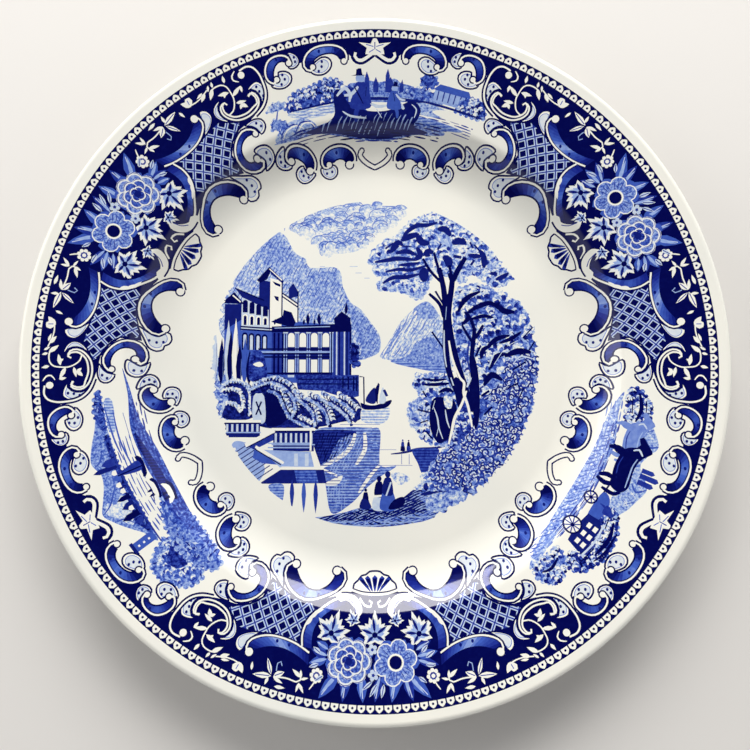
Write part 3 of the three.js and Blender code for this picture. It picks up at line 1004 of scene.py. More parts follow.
def castle(pen):
    """A country palace with a tower, long wings and rows of arched windows, of no particular place."""
    block = [(-57, 0), (-57, 16), (-53, 20), (-50.5, 25), (-40, 21), (-39, 16), (-9, 13.6), (-9, -5),
            (-20, -8), (-45, -8)]
    pen.area(block, MID, smooth=False)
    # the tower
    pen.area([(-44, 12), (-44, 31.4), (-39.6, 30.6), (-39.6, 12)], DEEP, smooth=False)
    pen.area([(-39.8, 12), (-39.8, 32), (-35.4, 31), (-35.4, 12)], PAPER, smooth=False)
    roof(pen, [(-45, 31.2), (-40.2, 36.4), (-39.8, 34.4), (-41, 31.6), (-43.6, 30.2)], NAVY)
    roof(pen, [(-40.2, 36.4), (-34.8, 31), (-35, 29.8), (-39.6, 33.6)], DEEP)
    pen.line([(-40.2, 35.6), (-35.4, 31.2)], 0.4, PAPER, smooth=False)
    pen.area([(-39, 30.8), (-36, 29.6), (-36, 28.6), (-38, 29.4)], NAVY, smooth=False)
    pen.area([(-38.4, 25.2), (-36.6, 24.8), (-36.6, 23), (-37.6, 23.6)], NAVY, smooth=False)
    pen.line([(-35.3, 31), (-35.3, 16)], 0.45, NAVY, smooth=False)
    # the left wing, its roof and its end turret
    pen.area([(-50.6, 12), (-50.6, 24.6), (-40.4, 20.6), (-40, 12)], PALE, smooth=False)
    roof(pen, [(-53.4, 28.4), (-41.4, 23.2), (-40, 19.6), (-50.4, 24.6)], DEEP)
    pen.line([(-53, 28), (-42, 23.4)], 0.5, NAVY, smooth=False)
    pen.area([(-57, 12), (-57, 22), (-50.6, 22), (-50.6, 16)], DEEP, smooth=False)
    roof(pen, [(-58.4, 22.4), (-53.4, 26.6), (-49.6, 22)], NAVY)
    pen.line([(-54, 25.4), (-51, 22.8)], 0.5, PAPER, smooth=False)
    for i in range(4):
        x = -49.2 + 2.55 * i
        arch(pen, x, 18.8 - 0.5 * i, 23.6 - 0.75 * i, 1.9, NAVY)
        arch(pen, x, 14, 18.2 - 0.35 * i, 2.0, PAPER)
        arch(pen, x, 14, 17.6 - 0.35 * i, 1.1, NAVY)
    for y in (13.4, 12.4):
        pen.line([(-51, y), (-39, y - 0.8)], 0.6, NAVY, smooth=False)
    for i in range(4):
        arch(pen, -49.2 + 2.5 * i, 4.5, 11.2 - 0.25 * i, 2.2, NAVY)
        arch(pen, -49.2 + 2.5 * i, 4.5, 10.4 - 0.25 * i, 1.1, PALE)
    # the low roofs and the white gable right of the tower
    pen.area([(-35, 15), (-35, 26.4), (-29.6, 22.4), (-29.2, 15)], PAPER, smooth=False)
    for drop in (0, 1.3):
        pen.line([(-35.4, 26.4 - drop), (-29.4, 22.2 - drop)], 0.5, NAVY, smooth=False)
    pen.area([(-32.6, 24), (-32.8, 28), (-31, 30), (-29.4, 27.2), (-29.4, 25)], DEEP, smooth=False)
    pen.line([(-29.2, 27), (-29.2, 15)], 0.45, NAVY, smooth=False)
    roof(pen, [(-39.4, 15.2), (-35, 17.4), (-34.6, 19.8), (-31.6, 18.8), (-30, 15), (-31, 13)], NAVY)
    # the long front with its parapet, figures of stone, two rows of windows and cornices
    pen.area([(-39, -5), (-39, 12.6), (-9, 12.6), (-9, -5)], BLUE, smooth=False)
    for x in (-38, -36.4, -34.8, -33.4):
        pen.line([(x, 11), (x, -5)], 0.75, NAVY, smooth=False)
    pen.area([(-39, 11.2), (-39, 13.4), (-9, 14.6), (-9, 11.4)], NAVY, smooth=False)
    pen.line([(-38, 12.8), (-17, 13.4)], 0.35, LIGHT, smooth=False)
    for i in range(4):
        x = -31.6 + 4.35 * i
        pen.area([(x - 1.9, -5), (x - 1.9, 11), (x + 1.9, 11), (x + 1.9, -5)], DEEP, smooth=False)
        arch(pen, x, 5.6, 11, 2.5, PAPER)
        pen.area([(x - 1.2, -4), (x - 1.2, 0.8), (x + 1.2, 0.8), (x + 1.2, -4)], PAPER, smooth=False)
        pen.area([(x - 1.2, -5.9), (x - 1.2, -5), (x + 1.2, -5), (x + 1.2, -5.9)], PALE, smooth=False)
    for i in range(5):
        x = -33.8 + 4.35 * i
        for shift in (-0.45, 0.45):
            pen.line([(x + shift, 10.6), (x + shift, -4)], 0.4, LIGHT, smooth=False)
        pen.line([(x - 0.9, 11), (x + 0.9, 11)], 0.5, PALE, smooth=False)
    for y, ink in ((4.8, NAVY), (3.7, LIGHT), (3.0, NAVY), (1.8, NAVY), (-4.4, NAVY)):
        pen.line([(-44, y), (-17, y)], 0.65, ink, smooth=False)
    for x in (-38, -27, -25.4, -23, -21):
        pen.leaf((x, 14), (x + 0.2, 16.4), 0.9, NAVY)
    for x, top in ((-25.4, 18.6), (-21.2, 18.6)):
        pen.leaf((x, 14.2), (x, top), 1.5, NAVY)
    roof(pen, [(-15.6, 16.4), (-12.6, 19.2), (-9.2, 16.6), (-9.2, 13.4), (-15, 13.4)], NAVY)
    pen.leaf((-11, 18), (-10.8, 22.6), 1.3, NAVY)
    for i in range(8):
        x = -16.4 + 0.98 * i
        pen.line([(x, 11.4), (x, -5)], 0.5, (NAVY, BLUE, PALE)[i % 3], smooth=False)
    pen.line([(-9.2, 14), (-9.2, -5)], 0.7, NAVY, smooth=False)
    foliage(pen, [(-9, 0), (-9, 4), (-8, 6.6), (-6.6, 5), (-6.4, 1.6), (-6.6, -1.6), (-8.4, -1.4)], DEEP,
            18, 3)


def gardens(pen):
    """Poplars, clipped hedges and arbours below the palace."""
    foliage(pen, [(-64, -2), (-62, 2), (-58, 0), (-55, -4), (-53, -10), (-54, -20), (-59, -21), (-61, -14)],
            LIGHT, 90, 5)
    for x, top, ink in (
        (-62.4, 4, DEEP), (-60.6, 13, PALE), (-58, 9, NAVY), (-55.6, 16, PALE), (-54.6, 12, NAVY),
        (-52.8, 16.6, PAPER),
        (-51.2, 7, NAVY), (-49.2, 9, MID), (-47.4, 4.5, NAVY), (-45.6, 3.6, PALE),
    ):
        pen.leaf((x, -9), (x + 0.2, top), 2.6, ink)
        pen.line([(x + 0.7, -7), (x + 0.8, top - 6)], 0.4, SOFT if ink in (NAVY, DEEP) else BLUE, 0.3)
    pen.area([(-47, 3), (-43, 4), (-41, -1), (-41, -6), (-47, -7)], BLUE, LEAFY)
    pen.area([(-46, -1), (-43.4, 0), (-42, -1.4), (-43.8, -2)], PAPER)
    pen.area([(-30, -5), (-6, -5), (-6, -13), (-10, -14), (-20, -11), (-29, -10.5)], 0.8, STIPPLE,
            smooth=False)
    for y in (-6.6, -8.4):
        pen.line([(-29, y), (-7, y)], 0.45, NAVY, smooth=False)
    for x, low in ((-12, -10), (-10, -10.6), (-8, -11), (-6.8, -11.2)):
        pen.line([(x, -5.6), (x, low)], 0.55, LIGHT if int(x) % 2 else NAVY, smooth=False)
    pen.area([(-57, -9), (-53, -7.4), (-48, -8), (-46, -11), (-46, -21), (-57, -21), (-55, -14)], DEEP, LEAFY)
    for points in (
        [(-56.6, -9.4), (-53, -7.6), (-49, -8.6), (-46.6, -12), (-46.4, -20)],
        [(-56.6, -11), (-52, -10.8), (-49.8, -13), (-49, -18)],
        [(-55, -16), (-52, -16.4), (-50, -19)],
    ):
        scallops(pen, points, 1.0, 35)
    pen.area([(-46, -8), (-41, -6), (-36, -5.4), (-31, -8), (-28.4, -12), (-24, -13), (-17, -14.6),
            (-10, -12.6), (-5.6, -16), (-5.4, -21.6), (-12, -22.6), (-22, -24.6), (-41, -24.8),
            (-46, -20)], DEEP, LEAFY)
    pen.area([(-41, -12), (-38, -9.6), (-34.6, -10.4), (-33, -15), (-32, -20), (-36, -24), (-41, -23)], NAVY)
    for points in (
        [(-45, -9), (-40, -6.8), (-36, -6.6), (-31.6, -9), (-29, -12.4)],
        [(-38, -9.6), (-34.6, -11), (-32.4, -15.6), (-30, -19.6), (-25, -22.4), (-22, -24)],
        [(-29, -12), (-28, -16), (-29, -19)], [(-28, -12.4), (-24.6, -14.6), (-21.6, -18), (-20.6, -22.6)],
        [(-24, -12.4), (-19.6, -14.6), (-16.6, -18.4), (-15.6, -22)],
        [(-19, -12.4), (-13, -15.6), (-9, -19), (-7.6, -21.4)], [(-13, -12.6), (-9, -15), (-6, -18)],
    ):
        scallops(pen, points, 1.15, 80)
        scallops(pen, [(x - 1.5, y - 1.9) for x, y in points], 0.8, 81, LIGHT)
    pen.area([(-45.6, -13), (-43.6, -12), (-41.6, -13), (-41.2, -22.6), (-45.6, -22)], PALE)
    pen.line([(-44.6, -20), (-42.6, -15)], 0.6, NAVY)
    pen.line([(-42.6, -20), (-44.6, -15)], 0.6, NAVY)
    pen.line([(-5.8, -5.6), (-4.2, -5.8), (-4, -18)], 0.5, NAVY, smooth=False)


def balustrade(pen, left, right, low, high, posts):
    """A stone rail on balusters over a dark base."""
    pen.area([(left, low), (left, high), (right, high), (right, low)], DEEP, smooth=False)
    for i in range(posts):
        x = left + (right - left) * (i + 0.5) / posts
        pen.line([(x, low + (high - low) * 0.35), (x, low + (high - low) * 0.82)], 0.8, PALE, smooth=False)
    for y, width, ink in ((high, 1.0, PAPER), (high - 0.8, 0.4, NAVY),
            (low + (high - low) * 0.3, 0.45, LIGHT)):
        pen.line([(left - 0.6, y), (right + 0.4, y)], width, ink, smooth=False)


def terrace(pen):
    """The stone terrace and stairs at the water's edge, lower left."""
    balustrade(pen, -60, -43, -28.4, -22.4, 9)
    pen.area([(-52.6, -30), (-54, -35), (-50, -41), (-45, -46), (-42.6, -44), (-41, -40), (-44, -33),
            (-47.6, -30.6)], LIGHT)
    for i in range(9):
        x, y = -53.6 + 1.15 * i, -35 - 1.15 * i
        pen.line([(x, y), (x + 6.4, y + 4.2)], 0.6, DEEP, 0.6)
    pen.area([(-49, -31), (-37, -25.6), (-35, -28), (-45, -33)], BLUE, smooth=False)
    pen.area([(-45, -33), (-39, -36.4), (-36, -38.6), (-42, -38), (-45.6, -36)], MID, smooth=False)
    balustrade(pen, -38, -22.8, -33.6, -25.4, 8)
    for y in (-30.6, -32.2):
        pen.line([(-40, y), (-24, y)], 0.5, LIGHT, smooth=False)
    pen.line([(-24, -25.4), (-24, -33.4)], 0.7, PAPER, smooth=False)
    pen.line([(-48.4, -31.4), (-37.6, -25.8)], 1.5, PAPER, smooth=False)
    pen.line([(-48, -32.4), (-38, -27)], 0.4, NAVY, smooth=False)
    pen.area([(-42, -33), (-24, -33.8), (-22.6, -39.6), (-35, -40)], LIGHT, smooth=False)
    for x in (-29.4, -25.4):
        pen.line([(x, -34.4), (x, -39)], 1.4, PALE, smooth=False)
    pen.line([(-44.6, -31.8), (-34, -38)], 1.0, PAPER, smooth=False)
    pen.line([(-44.8, -32.8), (-35, -38.6)], 0.45, NAVY, smooth=False)
    pen.area([(-43, -45.6), (-36, -40.4), (-19, -40.4), (-18, -45.4)], DEEP, smooth=False)
    pen.area([(-30, -40.6), (-22, -40.6), (-21, -45.2), (-29, -45.2)], MID, RULED, smooth=False)
    pen.line([(-43.6, -45.4), (-34.6, -39.6), (-19, -39.8)], 0.8, PAPER, smooth=False)
    pen.area([(-39.4, -46), (-34, -46), (-34.6, -53), (-37, -52), (-38.6, -49)], 0.5, RULED)
    for x, low, ink in ((-30.8, -55, BLUE), (-26.4, -56.4, MID), (-22, -56.6, BLUE)):
        pen.leaf((x, -44), (x, low), 1.7, ink)


def water(pen):
    """Ruled water before the terrace with the pale reflections of walls."""
    basin = [(-23, -26.4), (-10, -24.6), (-2, -25), (2, -26), (2, -38.6), (8, -39), (2, -43), (-4, -48),
            (-9, -53), (-16, -56.4), (-18.4, -46), (-20, -40)]
    pen.area(basin, 0.5, RULED)
    inside = pen.through(basin)
    inside.area([(-23, -27), (-16, -25.6), (-7, -26.4), (-11, -31), (-17, -36.4), (-22.6, -38.6)], DEEP,
            RULED)
    inside.area([(-13, -29), (-7.6, -28), (-10.6, -32), (-17, -37)], SOFT, RULED)
    for points, width in (
        ([(-7.4, -27), (-8.6, -31), (-12, -35), (-20, -39.6)], 1.7),
        ([(-3.8, -26.6), (-3.8, -33), (-7, -38.6)], 1.6),
        ([(-20, -40), (-14, -42.6)], 1.4), ([(2, -38.4), (-2, -43), (-6, -49)], 1.3),
    ):
        inside.line(points, width, PAPER, 0.6)
    inside.area([(-16, -44), (-12, -42.6), (-14, -46), (-19, -46)], PAPER)
    rules(inside, -22, 2, -56, -26, BLUE, 9, 1.15, 0.34)
    for outline, angle, ink, seed in (
        ([(-22, -28), (-9, -27), (-12, -33), (-20, -38)], 70, NAVY, 82),
        ([(-10, -28), (-5, -27), (-6, -36), (-12, -42), (-18, -42)], 65, LIGHT, 83),
        ([(-18, -46), (-10, -46), (-12, -55), (-17, -55)], 88, LIGHT, 84),
    ):
        hatch(inside, outline, angle, 1.0, 0.36, ink, seed)
    pen.area([(-4, -17), (5, -17), (4.6, -22), (0, -23.6), (-5, -22)], PALE, RULED)
    for y, left, right in ((-17.6, -4, 5), (-21, -5, 4), (-23.6, -13, 2), (-24.8, -10, -1), (-33, 2, 8),
            (-38.8, 0, 14)):
        pen.line([(left, y), (right, y)], 0.5, MID, 0.3)


def sailing_boat(pen):
    """The boat with two sails in front of the palace."""
    pen.area([(-5.4, -15.4), (-4, -16), (0, -16.4), (6.2, -14.4), (4, -17.4), (-4, -18)], NAVY)
    pen.area([(-2.6, -12.4), (0, -9.8), (0.2, -15.6), (-3.4, -15)], DEEP)
    pen.area([(0.6, -15.4), (1.8, -8.4), (0.2, -10)], NAVY)
    pen.area([(1.6, -15.4), (3, -9.6), (4.2, -15)], PALE)
    pen.line([(3.4, -10.6), (4.6, -13)], 1.0, DEEP)
    pen.line([(1.3, -8), (0.9, -15.8)], 0.35, NAVY)


def shrubs(pen):
    """The leafy bank on the right, from the bushes at the horizon down to the shore."""
    upper = [(31, 24), (34, 27.6), (38, 29), (43, 28), (45.6, 25.4), (49, 26), (51.6, 23), (55, 21.6),
            (56.4, 18), (60, 14.6), (61.4, 10), (61.6, 4), (61.6, -6), (59, -16), (55, -26), (52, -34),
            (48, -42), (42, -46), (34, -48), (22, -47), (18, -45), (24, -36), (30, -30), (36, -24),
            (34, -6), (31, 6)]
    foliage(pen, upper, 0.55, 120, 11, 1.5)
    clumps(pen, upper, 330, 14, 1.5)
    lower = [(24, -35), (34, -29), (42, -18), (47, -6), (52, 2), (60, 3), (60.4, -8), (57.6, -18),
            (53.6, -28), (49, -40), (42, -45), (30, -47), (21, -45)]
    pen.area(lower, 0.55, LEAFY)
    clumps(pen, lower, 110, 15, 1.1, 0.3)
    curls(pen, lower, 400, 12)
    for points, width in (
        ([(31.6, 19), (33.4, 22.6), (36, 25), (40, 26.8)], 2.0),
        ([(35, 18.6), (39, 21), (44, 22.4), (47, 20)], 1.9),
        ([(46, 22), (49, 19.4), (53, 19)], 2.3), ([(36, 16), (41, 17.4), (45, 16.8)], 1.5),
        ([(33, 14), (35.6, 17), (34, 19)], 1.8), ([(42, 5), (46, 8.6), (51, 10)], 1.9),
        ([(47, 7), (52, 9), (55.4, 11.4)], 1.5), ([(56, 9), (60, 13.4)], 1.6),
        ([(49, 2), (54, 4), (59, 3.6)], 2.4),
        ([(58, 4), (61, 8.6)], 1.8), ([(43, -3), (46, 2), (50, 3)], 2.1),
        ([(40, 1), (41, 4.6), (44, 6)], 1.8),
        ([(41, -9), (44, -5), (48, -7)], 2.4), ([(40, -13), (43, -11)], 3.0), ([(52, -3), (57, 0)], 2.2),
        ([(50, -10), (54, -8)], 2.0), ([(41, -20), (44, -17)], 2.6), ([(54, -14), (56, -10)], 1.6),
    ):
        pen.line(points, width, NAVY, 0.3)
    for points in (
        [(43, -2), (45, 3), (47, 4.4)], [(45, -1), (48, 3.6)], [(52, -1), (55, 2), (60, 1)],
        [(41, -14), (43.6, -12.4)],
        [(38, 6), (40.4, 10)], [(50, 6), (54, 8)], [(47, -12), (50, -9)],
    ):
        pen.line(points, 0.6, PALE, 0.4)


def big_tree(pen):
    """The tall tree with two crossing trunks and layered leaves."""
    crown = [(9, 46), (11, 50.4), (16, 54), (21, 56), (25, 57.6), (29, 55.6), (33, 54.6), (36.6, 51),
            (41, 47), (43.6, 43), (46, 39), (50, 35.6), (52.4, 33), (50, 31), (46, 29.4), (41, 32),
            (36, 34.6), (33, 30.6), (30, 33), (24, 35), (19, 38), (12, 42)]
    foliage(pen, crown, 0.32, 60, 21, 1.6, 0.26)
    clumps(pen, crown, 150, 24, 1.5, PALE, 0.8)
    left = [(0, 42), (4, 45.6), (9, 47), (17, 46), (20, 40), (21, 34), (19, 28), (16.6, 24), (13, 26.6),
            (8, 28), (1.6, 28.4), (3, 31), (6, 33), (0, 34.6), (2, 37), (-1.6, 38.4)]
    foliage(pen, left, 0.36, 50, 22, 1.5, 0.26)
    clumps(pen, left, 80, 25, 1.3, PALE, 0.8)
    for points, width in (
        ([(10.4, 47), (12.4, 50), (16, 52.4), (20, 52.6), (24, 53.6)], 1.5),
        ([(24, 51), (27, 51), (29, 48.4)], 2.2),
        ([(10, 46.6), (14, 48.4), (17, 49)], 2.0), ([(16, 49), (18, 46), (21, 45.6)], 2.3),
        ([(4, 43.4), (7, 45.6)], 1.8), ([(6, 42), (9, 45.8), (10.6, 44.6)], 2.2),
        ([(10, 44.6), (14, 44.2)], 1.3),
        ([(8, 41.6), (12, 42.4), (16, 41)], 1.6), ([(16, 44), (17.4, 41), (15, 39)], 2.0),
        ([(0, 38.2), (5, 39), (9, 39.6), (16, 39)], 1.5), ([(9, 37), (14, 37.4), (17, 38)], 1.2),
        ([(4, 34.4), (9, 35.4), (14, 35.2), (20, 37)], 1.2),
        ([(3, 30), (7, 32.2), (12, 32.4), (17, 33.6)], 1.5),
        ([(19, 36), (18.6, 33), (19, 30.6)], 3.2), ([(19, 40.6), (21, 42.4), (22.4, 42)], 2.6),
        ([(24, 43), (25.4, 45.4)], 1.8), ([(26, 40.4), (28, 39), (28.4, 36)], 2.8),
        ([(30, 40.6), (33, 40)], 2.8),
        ([(29.6, 45.4), (32, 46.4), (35, 45.6)], 2.4), ([(33.4, 47.6), (34.6, 46.6)], 1.8),
        ([(36.4, 46), (37.6, 43.6)], 1.8), ([(35.6, 41), (38, 40.6), (40.6, 40.4)], 1.6),
        ([(36.6, 37), (38, 39)], 2.0), ([(40, 43), (41.6, 40), (41.6, 36)], 2.0),
        ([(44, 34), (46.6, 33.4)], 3.0),
        ([(46, 31.4), (49, 32.6), (51, 34)], 1.6), ([(38, 45), (40, 42.6)], 1.6),
    ):
        pen.line(points, width * 1.2, DEEP, 0.35)
    # trunks and boughs
    for points, width in (
        ([(24.4, 36), (25.6, 31), (26.4, 26), (26.8, 20), (27, 14), (26.8, 6), (27.6, -2), (29.4, -8),
        (32.6, -15)], 2.4),
        ([(29.6, 32), (29, 27), (28.2, 22), (27.8, 17), (28.6, 10), (30, 3), (32, -4), (34, -10), (35.6, -16),
          (36.8, -24)], 2.6),
        ([(28.4, 34), (29.6, 31), (31.4, 34.6), (34.6, 40)], 2.0), ([(29.6, 31), (28.4, 37)], 1.5),
        ([(25.4, 32), (23.6, 38), (22.6, 42)], 1.1), ([(25.6, 30), (21, 35), (18.4, 39.6)], 1.1),
        ([(26, 22), (23, 27)], 1.0), ([(26, 17), (24.6, 22), (20.6, 26)], 1.3),
        ([(26, 5), (21.6, 11.4)], 0.9),
    ):
        pen.line(points, width, NAVY, 0.75)
    for outline in (
            [(26.4, 24), (27.8, 26), (28.6, 22), (28.4, 17), (27, 14), (26.2, 18)],
            [(36.6, 3), (38.6, -2), (39.4, -12), (39, -22), (37.4, -25), (36.4, -16), (35.4, -8)],
            [(30, -6), (33, -8), (34, -13), (32, -18), (30.4, -14)]):
        pen.area(outline, NAVY)
    between_trunks = [(33.8, -12), (35.6, -17), (36.6, -24), (34, -28), (29, -30), (30, -24), (32.4, -17)]
    pen.area(between_trunks, BLUE, LEAFY)
    clumps(pen, between_trunks, 16, 36, 1.0)
    for points, width, ink in (
        ([(26.2, 12), (26.2, 4), (27, -2)], 0.6, PALE), ([(28, 8), (29, 2), (31, -4)], 0.9, PAPER),
        ([(29.6, 0), (32, -6), (33.6, -8), (33.4, -12), (35, -17), (36.4, -24.6)], 1.0, PAPER),
        ([(34.4, -11), (32.6, -16), (30, -21), (28.8, -26), (27.6, -31)], 1.1, PAPER),
        ([(36.6, -1), (36, -6), (34.6, -9.6)], 1.0, PALE), ([(27.2, 21), (26.8, 16)], 0.4, LIGHT),
        ([(28.6, -6), (29.6, -9)], 0.8, PALE),
    ):
        pen.line(points, width, ink, 0.6)
    # the second, slighter trunk to the right
    for points, width in (
        ([(36, 17), (37.6, 12), (37, 6), (36.4, 0), (36.6, -6)], 1.7), ([(37, 8), (39.4, 11), (41, 14)], 1.4),
        ([(37, 7), (34.6, 11), (33, 14)], 1.1), ([(38, 2), (40, 6)], 1.2),
    ):
        pen.line(points, width, NAVY, 0.6)
    pen.line([(35.6, 8), (35, 1), (36, -4)], 0.7, BLUE, 0.6)


def thicket(pen):
    """The dark thicket at the foot of the tree."""
    outline = [(17, -5.6), (22, -5), (27, -6), (30, -9), (31, -16), (30, -24), (28, -30), (23, -31),
            (19, -29), (15.4, -24), (16, -18), (17, -11), (15, -8)]
    foliage(pen, outline, 0.5, 50, 31, 1.4)
    clumps(pen, outline, 90, 33, 1.3)
    foliage(pen, [(13.4, -16), (16, -15), (18, -18), (17, -24), (13.6, -23)], LIGHT, 20, 32, 1.2)
    pen.area([(22, -14), (26, -13.4), (30, -15), (30.6, -22), (28, -28), (24, -30.6), (21, -26),
            (20.6, -19)], NAVY)
    for points, width in (
        ([(18, -6.4), (22, -7), (27, -6.6)], 1.0), ([(18.4, -8.6), (23, -8.6), (28, -8.2)], 1.3),
        ([(24, -11.6), (27, -10.4), (29.6, -11.4)], 1.5), ([(18, -11), (19.4, -13.4)], 1.4),
        ([(16, -18), (20, -19)], 1.6),
        ([(19, -26), (21.6, -29)], 1.6), ([(17, -23), (20, -22)], 1.2),
    ):
        pen.line(points, width, NAVY, 0.4)
    for points in (
        [(22, -17), (23.4, -21), (24, -25), (25.4, -29)], [(26.4, -18), (27, -22), (28, -25)],
        [(24, -24), (23, -28)],
        [(19, -9.8), (24, -9.8)], [(18.6, -7.6), (24, -7.8)], [(22.6, -14.6), (21.6, -18)],
    ):
        pen.line(points, 0.6, PALE, 0.4)
    pen.area([(26, -13), (29, -13.6), (28.6, -17.6), (26.4, -17)], PALE, LEAFY)


def near_bank(pen):
    """The dark bank in front, from the left point up to the shore on the right."""
    low = [(-25, -58.4), (-18, -57.4), (-11, -56), (-5, -54.4), (4, -54.6), (10, -51), (15, -47), (19, -43),
            (22, -38), (26, -34), (30, -31), (27, -38), (24, -44), (32, -46), (40, -47), (37, -51),
            (31, -55), (24, -58), (12, -60.4), (2, -61.4), (-8, -61), (-17, -59.8)]
    pen.area(low, 0.62, LEAFY)
    pen.area([(-22, -58.4), (-10, -56.2), (-2, -55), (4, -55), (2, -58), (-8, -59.4)], DEEP, RULED)
    pen.area([(4, -55), (10, -51), (15, -47), (19, -43), (22, -38), (27, -33.4), (30, -31.6), (27, -37),
            (24.6, -43), (20, -46.4), (16, -50), (20, -54.6), (12, -57), (4, -57.6)], DEEP)
    hatch(pen, low, 24, 0.9, 0.4, LIGHT, 85)
    hatch(pen, low, 160, 1.3, 0.45, NAVY, 86)
    pen.area([(14, -47.6), (18, -45), (24, -44.6), (26, -46), (19, -47.6)], PALE, LEAFY)
    pen.line([(17, -49.6), (24, -48), (30, -45.4), (33, -47)], 2.0, DEEP, 0.3)
    pen.area([(20, -50), (30, -48.4), (37, -50.4), (30, -54), (20, -56)], 0.4, LEAFY)
    pen.line([(6, -34.6), (11, -34), (16, -32.8), (22, -32.4), (29, -31)], 1.1, DEEP, 0.3)
    pen.area([(14, -33), (20, -32.4), (24, -33), (22, -38), (18, -42), (16, -38)], BLUE, RULED)
    for left, right, y in ((-20, -6, -59.4), (-12, 8, -60.6), (0, 18, -59.4), (8, 26, -57.4),
            (16, 34, -54.4)):
        pen.line([(left, y), ((left + right) / 2, y - 0.4), (right, y + 0.5)], 0.45, LIGHT, 0.3)
    for x, y in ((-24, -58.6), (12, -61.4), (20, -60), (34, -54.2)):
        pen.line([(x, y), (x + 3, y + 0.3)], 0.5, NAVY, 0.3)


def fringe(pen):
    """The leaves and gardens end raggedly at the sides of the round picture."""
    rng = random.Random(37)
    for start, end in ((-68, 42), (152, 214)):
        angle = start
        while angle < end:
            radius = rng.uniform(0.5, 1.7)
            reach = SCENE_RADIUS + 0.5 - rng.uniform(0, 0.9)
            turn = math.radians(angle)
            pen.fill(blob(reach * math.cos(turn), reach * math.sin(turn), radius, rng, 7), PAPER)
            angle += rng.uniform(0.9, 2.6)


def person(pen, x, y, height, gown, cloak):
    """A small strolling figure, no more than a few marks."""
    pen.area([(x - height * 0.2, y), (x - height * 0.1, y + height * 0.55), (x, y + height * 0.78),
              (x + height * 0.1, y + height * 0.55), (x + height * 0.22, y)], gown)
    pen.area([(x - height * 0.14, y + height * 0.4), (x - height * 0.08, y + height * 0.78),
              (x + height * 0.08, y + height * 0.78), (x + height * 0.13, y + height * 0.36)], cloak)
    pen.disc(x, y + height * 0.88, height * 0.075, cloak, sides=8, stretch=1.15)


def figures(pen):
    """The strolling people on the near bank."""
    person(pen, -3.4, -54.6, 7.6, NAVY, NAVY)
    pen.area([(-5.6, -54.6), (-4.6, -51), (-2.4, -52), (-1.4, -54.6)], DEEP)
    person(pen, 1.6, -54.8, 12.6, PALE, NAVY)
    pen.line([(-0.6, -50.2), (3, -50)], 0.7, PAPER)
    person(pen, 4.8, -54.8, 14.4, MID, DEEP)
    pen.line([(4.2, -50), (6, -45)], 0.6, PALE)
    pen.area([(5, -54.8), (7, -51.6), (10.6, -50.4), (11, -53), (8, -54.8)], NAVY)
    person(pen, 10.4, -33.4, 4.4, NAVY, BLUE)
    person(pen, 12.6, -33.2, 4.0, BLUE, NAVY)
    for x in (10, 12.8):
        pen.line([(x, -34.6), (x, -38.4)], 0.5, MID, 0.4)
    pen.area([(6, -42), (10, -41.6), (13, -44), (9, -46)], PALE, LEAFY)


def scene_drawing():
    """The whole scene in the well, painted from back to front."""
    sheet = []
    base = Pen(sheet)
    sides = 240
    rim = [(SCENE_RADIUS * math.cos(2 * math.pi * i / sides),
            SCENE_RADIUS * math.sin(2 * math.pi * i / sides)) for i in range(sides)]
    number = base.fill(rim, PAPER)
    pen = Pen(sheet, window=number)
    for part in (clouds, mountains, lake, castle, gardens, water, terrace, sailing_boat, near_bank, shrubs,
                 thicket,
                 big_tree, figures, fringe):
        part(pen)
    return sheet


# ---------------------------------------------------------------- vignettes

# Across a vignette, one millimetre is this many degrees.
DEGREE_MM = 0.6


def shape(pen, a, r, size, points, ink, facing=1):
    """A small outline drawn in units of its size, standing at a place of a vignette."""
    pen.area([(a + facing * x * size * DEGREE_MM, r + y * size) for x, y in points], ink)


def stroke(pen, a, r, size, points, width, ink, facing=1):
    """A line in the units of a small figure, which stands at an angle and a radius of the border."""
    pen.line([(a + facing * x * size * DEGREE_MM, r + y * size) for x, y in points], width, ink, 0.6)


def horse(pen, a, r, size, facing, ink):
    """A horse from the side, with a highlight along its back and flank."""
    for leg in ([(0.38, 0.4), (0.42, 0.2), (0.38, 0)], [(0.3, 0.4), (0.34, 0.22), (0.46, 0.08)],
                [(-0.46, 0.42), (-0.54, 0.22), (-0.48, 0)], [(-0.36, 0.4), (-0.32, 0.2), (-0.4, 0.02)]):
        stroke(pen, a, r, size, leg, size * 0.12, ink, facing)
    shape(pen, a, r, size, [(-0.6, 0.5), (-0.58, 0.66), (-0.42, 0.76), (-0.2, 0.74), (0.05, 0.72),
            (0.28, 0.78), (0.42, 0.9), (0.52, 1.0), (0.58, 0.97), (0.74, 0.8), (0.84, 0.7), (0.78, 0.62),
            (0.64, 0.68), (0.56, 0.62), (0.5, 0.44), (0.36, 0.32), (0, 0.26), (-0.32, 0.3), (-0.52, 0.34)],
            ink, facing)
    stroke(pen, a, r, size, [(-0.58, 0.64), (-0.7, 0.5), (-0.68, 0.2)], size * 0.1, ink, facing)
    stroke(pen, a, r, size, [(-0.44, 0.69), (-0.2, 0.67), (0.1, 0.66), (0.3, 0.71)], size * 0.035, LIGHT,
            facing)
    stroke(pen, a, r, size, [(-0.3, 0.4), (0, 0.34), (0.24, 0.38)], size * 0.03, BLUE, facing)
    stroke(pen, a, r, size, [(0.4, 0.8), (0.52, 0.68), (0.46, 0.56)], size * 0.05, PALE, facing)


